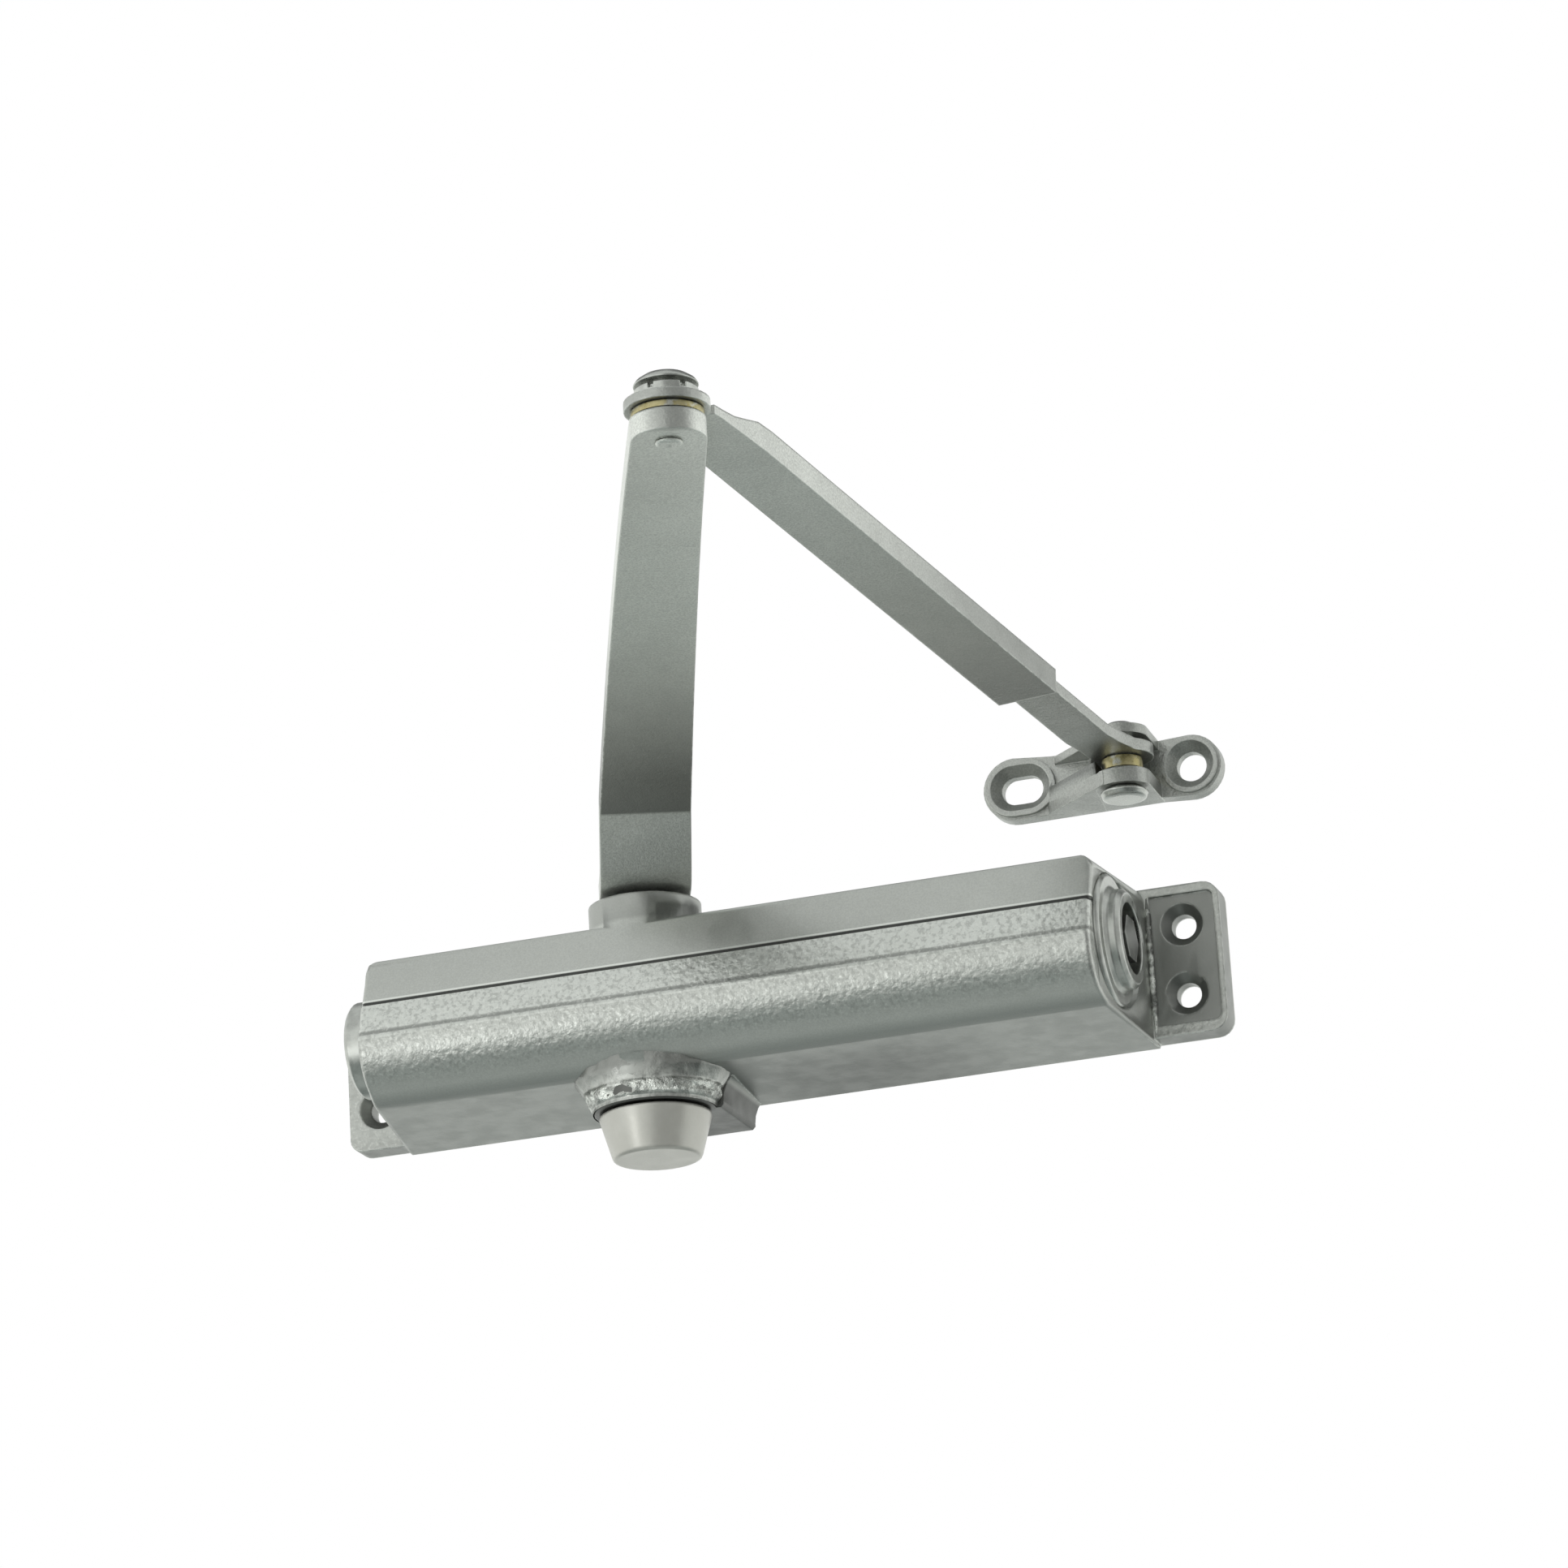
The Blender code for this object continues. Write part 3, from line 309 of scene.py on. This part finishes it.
def flange_masks(look, x, y):
    """Masks of the flanges' faces, and of the shallow pockets in them; the casting paints both in shade, the
    pockets darker.
    """
    on_right = look.ease(x, RIGHT_FLANGE, RIGHT_FLANGE + 1.5 * MM)
    on_left = look.ease(x, LEFT_FLANGE, LEFT_FLANGE - 1.0 * MM)
    on_flange = look.either(on_right, on_left)
    flange = look.both(on_flange, look.band(y, FLANGE_FACE - 0.5 * MM, NEAR_BACK, MM))
    pocket = look.both(on_flange, look.band(y, FLANGE_FACE + 0.6 * MM, NEAR_BACK, 0.6 * MM))
    return flange, pocket


def cast_paint():
    """Silver paint on the casting: smooth cheek and floor, pebbled front, painted shade in the groove, on the
    step, underside, bosses and flanges, painted highlights on the lip, brow and pebbles.
    """
    look = Look("silver_paint_on_casting")
    x, y, z = look.axis("X"), look.axis("Y"), look.axis("Z")
    groove, lip, step, brow, upper = front_masks(look, y, z)
    upper_boss_shade, lower_boss_shade = boss_masks(look, x, z)
    flange, pocket = flange_masks(look, x, y)
    # underside painted in shade, with a painted shadow darker in its middle
    under = look.ease(z, BODY_FLOOR + 4.5 * MM, BODY_FLOOR + 1.0 * MM)
    underside_middle_shadow = look.both(look.ease(z, BODY_FLOOR + 2.2 * MM, BODY_FLOOR + 0.4 * MM),
                             look.band(x, 15 * MM, 35 * MM, 40 * MM))
    front = look.ease(y, FRONT_FACE + 9.5 * MM, FRONT_FACE + 5.0 * MM)
    below_groove = look.ease(z, GROOVE, GROOVE - 0.3 * MM)
    pebbled = look.both(front, below_groove, look.band(z, TURN_TOP + 2 * MM, GROOVE + MM, 5 * MM))
    coarse = look.either(pebbled, look.both(flange, 0.6, look.opposite(pocket)))
    # specks of painted shade and painted highlight over the coarse surface
    hollow = look.ease(look.noise(1.3, 2.0, 0.6), 0.54, 0.36)
    raised = look.ease(look.noise(0.9, 2.0, 0.6), 0.52, 0.68)
    layers = (
        (upper, 0.9, 0.78),
        # painted shade on the underside, and a painted shadow in its middle
        (under, 0.8, 0.36),
        (underside_middle_shadow, 0.7, 0.16),
        # painted shade on the step, painted highlight on the brow under it
        (step, 0.6, 0.22),
        (brow, 0.5, 0.85),
        # painted shade on the upper boss, and darker painted shade on the lower boss and block
        (upper_boss_shade, 0.6, 0.32),
        (lower_boss_shade, 0.9, 0.10),
        # painted shade on the flanges, darker in their pockets
        (flange, 0.6, 0.46),
        (pocket, 0.8, 0.22),
        # painted shade and painted highlight specks on the pebbled front and flanges
        (look.both(hollow, coarse), 0.40, 0.30),
        (look.both(raised, coarse), 0.30, 0.95),
        # painted shade in the groove, painted highlight on the lip over it
        (groove, 0.9, 0.08),
        (lip, 0.8, 0.92),
    )
    flake = look.flake()
    shade = look.blend(flake, look.noise(30.0, 3.0, 0.5), 0.2)
    colour = look.mix(look.ease(shade, 0.34, 0.66), grey(0.52), grey(0.59))
    for mask, share, tone in layers:
        colour = look.mix(look.both(mask, share), colour, grey(tone))
    rounded = look.soft_edges(look.ease(look.either(groove, lip), 0.0, 1.0, 0.9, 0.15))
    # edges lightened, as worn paint and as painted highlight, except on the shaded lower boss
    wear_and_edge_highlight = look.both(look.edge_mask(rounded), look.ease(look.noise(2.4), 0.3, 0.6), look.opposite(lower_boss_shade))
    colour = look.mix(wear_and_edge_highlight, colour, grey(0.84))
    roughness = look.ease(look.noise(6.0), 0.3, 0.7, 0.32, 0.40)
    pebble = look.blend(look.noise(1.0, 1.5, 0.5), look.pebbles(1.6), 0.5)
    height = look.blend(look.both(pebble, look.blend(coarse, 1.0, 0.10)), flake, 0.06)
    return look.finish(colour, roughness, PAINT_METALLIC, look.bump(height, 0.22, rounded))


def rough_cast():
    """Paint over as-cast metal: coarse lumps, painted highlights speckling the ridge above the cap and the
    flange bead, painted shade higher up.
    """
    look = Look("silver_paint_on_rough_cast")
    lumps = look.noise(2.4, 3.0, 0.65)
    grit = look.noise(0.8, 2.0, 0.7)
    z = look.axis("Z")
    ridge = look.band(z, HOUSING_LOW.z + 2.6 * MM, HOUSING_LOW.z + 4.4 * MM, 1.8 * MM)
    ridge = look.either(ridge, look.ease(look.axis("X"), 90 * MM, 100 * MM))
    # painted highlights: near-white specks on the ridge above the cap and on the flange bead
    speck_highlight = look.both(look.ease(look.noise(2.6, 1.5, 0.5), 0.42, 0.62), ridge)
    plain = look.mix(look.ease(lumps, 0.30, 0.70), grey(0.34), grey(0.58))
    # painted shade: darker higher up, meeting the shaded casting around the boss
    blended_in = look.ease(z, HOUSING_LOW.z + 6 * MM, HOUSING_LOW.z + 10 * MM)
    colour = look.mix(speck_highlight, look.mix(blended_in, plain, grey(0.30)), grey(0.97))
    roughness = look.ease(lumps, 0.3, 0.7, 0.26, 0.42)
    height = look.both(look.blend(lumps, grit, 0.3), look.ease(ridge, 0.0, 1.0, 0.12, 1.0))
    return look.finish(colour, roughness, PAINT_METALLIC, look.bump(height, 1.5))


# ---------------------------------------------------------------- bare finishes

def turned_steel(name, tone, roughness, node, axis="Z", edge_mm=0.25):
    """Plated or oiled steel with the fine rings that a lathe leaves round its axis."""
    look = Look(name)
    stain = look.noise(4.0, 4.0, 0.6)
    rounded = look.soft_edges(edge_mm)
    colour = look.mix(look.ease(stain, 0.30, 0.70), grey(tone * 0.72), grey(tone))
    from_axis = look.node("ShaderNodeVectorMath", {"operation": "SUBTRACT"}, i0=look.place,
                          i1=tuple(centre(node))).outputs[0]
    rings = look.node("ShaderNodeTexWave", {"wave_type": "RINGS", "rings_direction": axis},
                      Vector=from_axis, Scale=900.0, Distortion=1.5, Detail=2.0)
    height = look.blend(rings.outputs["Fac"], look.noise(0.5, 2.0, 0.7), 0.6)
    rough = look.ease(stain, 0.25, 0.75, roughness, roughness + 0.14)
    return look.finish(colour, rough, 0.96, look.bump(height, 0.012, rounded))


def yellow_zinc(name):
    """Yellow chromate: dull gold with olive and silver patches."""
    look = Look(name)
    patches = look.noise(2.4, 3.0, 0.6)
    gold = look.mix(look.ease(patches, 0.35, 0.65), (0.40, 0.35, 0.17, 1), (0.58, 0.52, 0.30, 1))
    thin = look.ease(look.noise(3.6), 0.52, 0.66)
    colour = look.mix(thin, gold, (0.60, 0.60, 0.55, 1))
    rough = look.ease(patches, 0.3, 0.7, 0.24, 0.40)
    return look.finish(colour, rough, 0.94, look.bump(look.noise(0.5), 0.012, look.soft_edges(0.2)))


def cap_plastic():
    """Warm grey moulded cap: fine matt grain and faint scuffs."""
    look = Look("cap_plastic")
    scuff = look.noise(7.0, 4.0, 0.6)
    colour = look.mix(look.ease(scuff, 0.35, 0.7), (0.56, 0.555, 0.515, 1), (0.62, 0.615, 0.575, 1))
    rough = look.ease(scuff, 0.3, 0.7, 0.30, 0.40)
    grain = look.bump(look.noise(0.6, 3.0, 0.65), 0.02, look.soft_edges(0.9))
    return look.finish(colour, rough, 0.6, grain)


def black_rubber():
    look = Look("black_rubber")
    colour = look.mix(look.noise(2.0), (0.012, 0.012, 0.013, 1), (0.03, 0.03, 0.03, 1))
    rough = look.ease(look.noise(1.0), 0.3, 0.7, 0.55, 0.7)
    return look.finish(colour, rough, 0.0, look.bump(look.noise(0.4), 0.02))


def cast_iron():
    look = Look("cast_iron")
    colour = look.mix(look.noise(1.2, 4.0), (0.14, 0.14, 0.14, 1), (0.28, 0.28, 0.27, 1))
    rough = look.ease(look.noise(2.0), 0.3, 0.7, 0.4, 0.6)
    return look.finish(colour, rough, 0.85, look.bump(look.noise(0.6), 0.03))


def bronze():
    look = Look("bronze")
    colour = look.mix(look.noise(3.0, 4.0), (0.42, 0.28, 0.13, 1), (0.60, 0.42, 0.20, 1))
    rough = look.ease(look.noise(1.5), 0.3, 0.7, 0.26, 0.42)
    return look.finish(colour, rough, 0.95, look.bump(look.noise(0.4), 0.01))


# ---------------------------------------------------------------- refined copies of the frame's parts


def paint(mesh, look):
    mesh.materials.clear()
    mesh.materials.append(look)


def show(name, mesh, look, body):
    """Puts a finished mesh in the scene, riding on a body."""
    mesh.name = name
    paint(mesh, look)
    made = bpy.data.objects.new(name, mesh)
    bpy.context.scene.collection.objects.link(made)
    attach(made, body)
    return made


def refined(node, look, bevel_mm=0.0, reshape=None):
    """A copy of a CAD node with whole flat faces, even shading and rounded edges."""
    source = NODES[node]
    sharp = math.radians(32)
    mesh = source.data.copy()
    bm = bmesh.new()
    bm.from_mesh(mesh)
    bmesh.ops.remove_doubles(bm, verts=bm.verts, dist=2e-6)
    bmesh.ops.dissolve_limit(bm, angle_limit=math.radians(0.6), verts=bm.verts, edges=bm.edges)
    if reshape:
        reshape(bm)
    bmesh.ops.recalc_face_normals(bm, faces=bm.faces)
    bm.to_mesh(mesh)
    bm.free()
    mesh.shade_smooth()
    if mesh.has_custom_normals:
        mesh.normals_split_custom_set([(0, 0, 0)] * len(mesh.loops))
    mesh.set_sharp_from_angle(angle=sharp)
    made = show(node + "_skin", mesh, look, source["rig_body"])
    if bevel_mm:
        bevel = made.modifiers.new("edges", "BEVEL")
        bevel.width = bevel_mm * MM
        bevel.segments = 3
        bevel.limit_method = "ANGLE"
        bevel.angle_limit = sharp
    weighted = made.modifiers.new("flat_faces_stay_flat", "WEIGHTED_NORMAL")
    weighted.keep_sharp = True
    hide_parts(node)
    return made


def round_ends(bm):
    """Rounds the outer edge of each leaning end face of the casting."""
    plug_seat = 20.0 * MM

    def outer(edge):
        """True for a sharp edge of an end face that isn't on the plug's seat or a flange."""
        middle = (edge.verts[0].co + edge.verts[1].co) / 2
        on_end = abs(middle.x) > 90 * MM and any(abs(face.normal.x) > 0.9 for face in edge.link_faces)
        from_bore = math.hypot(middle.y - BORE.y, middle.z - BORE.z)
        off_seat = from_bore > plug_seat or middle.y < FRONT_FACE + 4 * MM
        off_flange = middle.y < FLANGE_FACE - 0.7 * MM
        turns = edge.is_manifold and edge.calc_face_angle() > math.radians(40)
        return on_end and off_seat and off_flange and turns

    edges = [edge for edge in bm.edges if outer(edge)]
    bmesh.ops.bevel(bm, geom=edges, offset=1.3 * MM, segments=4, profile=0.5, affect="EDGES",
                    clamp_overlap=False)


# ---------------------------------------------------------------- cast details

def grid_faces(rows, columns, closed):
    """Quads between rows of points; closed joins the last column to the first."""
    faces = []
    for row in range(rows - 1):
        for column in range(columns if closed else columns - 1):
            after = (column + 1) % columns
            faces.append((row * columns + column, row * columns + after,
                          (row + 1) * columns + after, (row + 1) * columns + column))
    return faces


def surface(points, faces):
    mesh = bpy.data.meshes.new("surface")
    mesh.from_pydata(points, [], faces)
    mesh.shade_smooth()
    return mesh


def underside(y):
    """Height of the casting's underside at y, beside the bosses."""
    return casting_at(SPINDLE.x - 45 * MM, max(y, FRONT_FACE + 0.3 * MM), HOUSING_LOW.z - MM, UP).z


FILLET_FOOT = HOUSING_LOW.z + 0.35 * MM


def fillet_radius(height, spread):
    """Radius of the lower boss's fillet at a height over its foot."""
    return CAP_RADIUS + 1.6 * MM + spread * min(height / (9 * MM), 1.0) ** 1.5


def fillet_spread(outward):
    """How far the fillet flares in a direction: ragged, little to the front, most to the sides and back."""
    ragged = noise.noise(outward * 5.0 + Vector((0, 0, 3)))
    sideways = min(1.0, 1.1 * outward.x ** 2 + max(outward.y, 0.0))
    return (1.1 + (3.8 + 1.2 * ragged) * sideways) * MM


def fillet_height(outward, spread):
    """Height over its foot at which the fillet meets the casting."""
    height, radius = 0.0, CAP_RADIUS
    while FILLET_FOOT + height < underside(SPINDLE.y + outward.y * radius):
        height += 0.25 * MM
        radius = fillet_radius(height, spread)
    return height


def cast_lump(place, level):
    """Millimetres that the fillet's rough surface stands out, most on the ridge above the cap."""
    ridge = math.exp(-((level - 3.2 * MM) / (1.4 * MM)) ** 2)
    return (0.12 + 1.2 * ridge) * noise.noise(place * 330.0) + 0.15 * noise.noise(place * 900.0)


def make_boss_fillet(look):
    """Rough hollow fillet that spreads from the rim of the lower boss out into the casting."""
    steps, rings = 180, 16
    profiles = []
    for step in range(steps):
        angle = 2 * math.pi * step / steps
        outward = Vector((math.cos(angle), math.sin(angle), 0.0))
        spread = fillet_spread(outward)
        profiles.append((outward, spread, fillet_height(outward, spread)))
    points = []
    for ring in range(rings):
        share = min(ring / (rings - 2), 1.0)
        buried = 0.6 * MM if ring == rings - 1 else 0.0
        for outward, spread, height in profiles:
            level = height * share
            radius = fillet_radius(level, spread)
            place = Vector((SPINDLE.x, SPINDLE.y, FILLET_FOOT + level)) + outward * radius
            lump = outward * cast_lump(place, level) * MM * min(1.0, 5 * share)
            points.append(place + lump + Vector((0, 0, buried)))
    piece = show("boss_fillet", surface(points, grid_faces(rings, steps, True)), look, "body")


def make_flange_bead(look):
    """Raised cast bead where the right end face meets its flange, thicker at its foot."""
    low, high = HOUSING_LOW.z + 8.8 * MM, 20.0 * MM
    foot_top = low + 3.5 * MM
    end_face = casting_at(1.0, -11 * MM, 0.0, Vector((-1, 0, 0))).x
    levels, around = 90, 9
    points = []
    for level in range(levels):
        z = low + (high - low) * level / (levels - 1)
        taper = min(1.0, 6 * level / levels, 6 * (levels - 1 - level) / levels)
        thickness = 1.8 if z < foot_top else 1.0
        size = (0.75 + 0.22 * noise.noise(Vector((0, 0, z * 700)))) * MM * thickness * max(taper, 0.15)
        for step in range(around):
            angle = math.pi * step / (around - 1)
            x = end_face + 0.9 * MM - size * math.cos(angle)
            y = FLANGE_FACE + 0.2 * MM - size * math.sin(angle)
            points.append((x, y, z))
    piece = show("flange_bead", surface(points, grid_faces(levels, around, False)), look, "body")


# ---------------------------------------------------------------- stage

def soft_light(name, place, target, size, watts):
    data = bpy.data.lights.new(name, "AREA")
    data.shape = "RECTANGLE"
    data.size, data.size_y = size
    data.energy = watts
    obj = bpy.data.objects.new(name, data)
    obj.location = place
    obj.rotation_euler = (Vector(target) - obj.location).to_track_quat("-Z", "Y").to_euler()
    bpy.context.scene.collection.objects.link(obj)


def make_floor():
    """Plain pale floor, well under the object; reflections see the studio instead."""
    side = 12.0
    height = HOUSING_LOW.z - 0.80
    corners = [(-side, -side, height), (side, -side, height), (side, side, height), (-side, side, height)]
    mesh = surface(corners, [(0, 1, 2, 3)])
    floor = bpy.data.objects.new("floor", mesh)
    floor.visible_glossy = False
    bpy.context.scene.collection.objects.link(floor)
    look = Look("floor")
    colour = look.mix(look.noise(300.0), (0.76, 0.76, 0.75, 1), (0.80, 0.80, 0.79, 1))
    rough = look.ease(look.noise(40.0), 0.3, 0.7, 0.6, 0.8)
    paint(mesh, look.finish(colour, rough, 0.0, look.bump(look.noise(5.0), 0.1)))


STUDIO = (  # height of the direction, from -1 straight down to 1 straight up, and its colour there
    (-1.00, (0.50, 0.53, 0.515)),
    (-0.86, (0.36, 0.40, 0.385)),
    (-0.70, (0.26, 0.30, 0.29)),
    (-0.50, (0.46, 0.49, 0.475)),
    (-0.36, (0.92, 0.95, 0.92)),
    (0.00, (1.06, 1.08, 1.05)),
    (0.50, (0.94, 0.96, 0.94)),
    (1.00, (0.66, 0.68, 0.67)),
)


def studio_colour(sky, z):
    """Colour of the studio by the height of the direction."""
    height = sky.node("ShaderNodeMapRange", Value=z, From_Min=-1.0)
    ramp = sky.node("ShaderNodeValToRGB", Fac=height.outputs["Result"])
    stops = ramp.color_ramp.elements
    for index, (level, colour) in enumerate(STUDIO):
        place = (level + 1) / 2
        stop = stops[index] if index < 2 else stops.new(place)
        stop.position = place
        stop.color = (*colour, 1)
    return ramp.outputs["Color"]


def make_world():
    """Studio that is dim below, to the front right and high at the back; plain white backdrop."""
    world = bpy.data.worlds.new("studio")
    world.use_nodes = True
    bpy.context.scene.world = world
    sky = Nodes(world.node_tree)
    direction = sky.node("ShaderNodeTexCoord").outputs["Generated"]
    x, y, z = sky.node("ShaderNodeSeparateXYZ", Vector=direction).outputs
    front_right = sky.math("MINIMUM", sky.math("MULTIPLY", y, -1.0), x)
    high_back = sky.math("MINIMUM", y, z)
    dim = sky.both(sky.ease(front_right, 0.0, 0.25, 1.0, 0.40), sky.ease(high_back, 0.38, 0.58, 1.0, 0.20))
    backdrop = sky.node("ShaderNodeLightPath").outputs["Is Camera Ray"]
    strength = sky.node("ShaderNodeMix", i0=backdrop, i2=dim, i3=1.0).outputs[0]
    colour = sky.mix(backdrop, studio_colour(sky, z), (1, 1, 1, 1))
    background = world.node_tree.nodes["Background"]
    sky.link(strength, background.inputs["Strength"])
    sky.link(colour, background.inputs["Color"])


# ---------------------------------------------------------------- camera

def make_camera():
    """Long lens from below and to the right, turned a little clockwise."""
    yaw, pitch, roll = math.radians(17.314), math.radians(18.081), math.radians(3.408)
    distance = 1.7868
    target = Vector((0.00436, 0.0, 0.06844))
    forward = Vector((-math.sin(yaw) * math.cos(pitch), math.cos(yaw) * math.cos(pitch), math.sin(pitch)))
    right = Vector((math.cos(yaw), math.sin(yaw), 0.0))
    up = right.cross(forward)
    level = Matrix((right, up, -forward)).transposed()
    turn = level @ Matrix.Rotation(-roll, 3, "Z")
    data = bpy.data.cameras.new("camera")
    data.sensor_width = 36.0
    data.lens = 149.07
    data.clip_start, data.clip_end = 0.05, 20.0
    obj = bpy.data.objects.new("camera", data)
    obj.matrix_world = Matrix.Translation(target - forward * distance) @ turn.to_4x4()
    bpy.context.scene.collection.objects.link(obj)
    bpy.context.scene.camera = obj


# ---------------------------------------------------------------- build

def level_direction(start, end):
    """Direction from one node's centre to another's, seen from above."""
    direction = (centre(end) - centre(start)) * Vector((1, 1, 0))
    return direction.normalized()


def make_main_arm():
    """Main arm, with painted shade darkening from its middle down to the bend above the spindle, weaker on
    the crank below it and greyer past the elbow pin; returns its paint.
    """
    direction = level_direction("pinion_shaft", "elbow_pin")
    bend = SPINDLE.dot(direction) + 31 * MM
    # painted shade along the main arm: where it greys past the pin, where it starts, where it is full, where
    # it weakens
    arm_shading = {
        "direction": direction,
        "tip": centre("elbow_pin").dot(direction) + 6 * MM,
        "shade_from": bend + 115 * MM,
        "shade_to": bend + 6 * MM,
        "end": bend,
        "share": 0.97,
    }
    arm_paint = silver_paint("silver_paint_on_arm", 0.92, arm_shading=arm_shading)
    refined("main_arm", arm_paint)
    return arm_paint


def make_forearm():
    """Forearm channel, with painted shade darkening towards the foot and greyer past the elbow, and its rod.
    """
    direction = level_direction("foot_pin", "elbow_pin")
    elbow = centre("elbow_pin").dot(direction)
    # painted shade along the forearm: darkening from near the elbow towards the foot
    arm_shading = {
        "direction": direction,
        "tip": elbow,
        "shade_from": elbow - 30 * MM,
        "shade_to": elbow - 190 * MM,
        "end": elbow - 300 * MM,
        "share": 0.75,
    }
    refined("forearm_channel", silver_paint("silver_paint_on_channel", 0.82, arm_shading=arm_shading))
    refined("forearm_rod", silver_paint("silver_paint_on_steel", 0.52))


def make_painted_parts():
    """Casting, arms and foot; returns the main arm's paint."""
    refined("housing", cast_paint(), reshape=round_ends)
    arm_paint = make_main_arm()
    make_forearm()
    refined("foot_bracket", silver_paint("silver_paint_on_foot", 0.50, 0.45))
    rough = rough_cast()
    make_boss_fillet(rough)
    make_flange_bead(rough)
    return arm_paint


def make_elbow_pin(arm_paint):
    """Elbow rivet; its peened end was painted with the arm."""
    pin = refined("elbow_pin", turned_steel("elbow_pin_finish", 0.62, 0.20, "elbow_pin"), 0.2)
    pin.data.materials.append(arm_paint)
    for face in pin.data.polygons:
        if face.center.z < PEENED_END_TOP:
            face.material_index = 1


def make_metal_parts(arm_paint):
    for node in ("end_plug_left", "end_plug_right"):
        refined(node, turned_steel(node + "_finish", 0.62, 0.26, node, "X", 0.5), 0.3)
    for node in ("elbow_collar", "foot_pin", "arm_washer", "arm_screw", "lock_nut"):
        refined(node, turned_steel(node + "_finish", 0.66, 0.20, node), 0.2)
    make_elbow_pin(arm_paint)
    for node in ("elbow_washer", "foot_bush"):
        refined(node, yellow_zinc(node + "_finish"), 0.15)
    refined("pinion_cap", cap_plastic(), 0.4)
    refined("adjusting_screw", turned_steel("adjuster_finish", 0.34, 0.3, "adjusting_screw", "X"), 0.2)
    for node in ("sweep_valve", "latch_valve", "backcheck_valve", "lock_screw"):
        refined(node, turned_steel(node + "_finish", 0.60, 0.24, node), 0.1)


def make_spring(look):
    """Closing spring, on a mesh of its own."""
    spring = refined("closing_spring", look)
    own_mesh(spring)


def make_inner_parts():
    """Hidden parts: their CAD shapes stay, with better finishes."""
    oiled_steel = turned_steel("oiled_steel", 0.34, 0.28, "pinion_shaft")
    make_spring(oiled_steel)
    finishes = (
        (oiled_steel, ("pinion_shaft", "upper_gland", "lower_gland", "spring_seat")),
        (bronze(), ("upper_bearing", "lower_bearing", "check_valve")),
        (cast_iron(), ("piston",)),
        (black_rubber(), ("plug_seal_left", "plug_seal_right", "upper_seal", "lower_seal")),
    )
    for look, nodes in finishes:
        for node in nodes:
            paint(NODES[node].data, look)


make_metal_parts(make_painted_parts())
make_inner_parts()
make_floor()
make_world()
make_camera()
soft_light("left_strip", (-0.80, -1.30, -0.30), (0, -0.05, -0.02), (0.30, 0.5), 1.1)
bpy.context.scene.view_settings.view_transform = "Standard"
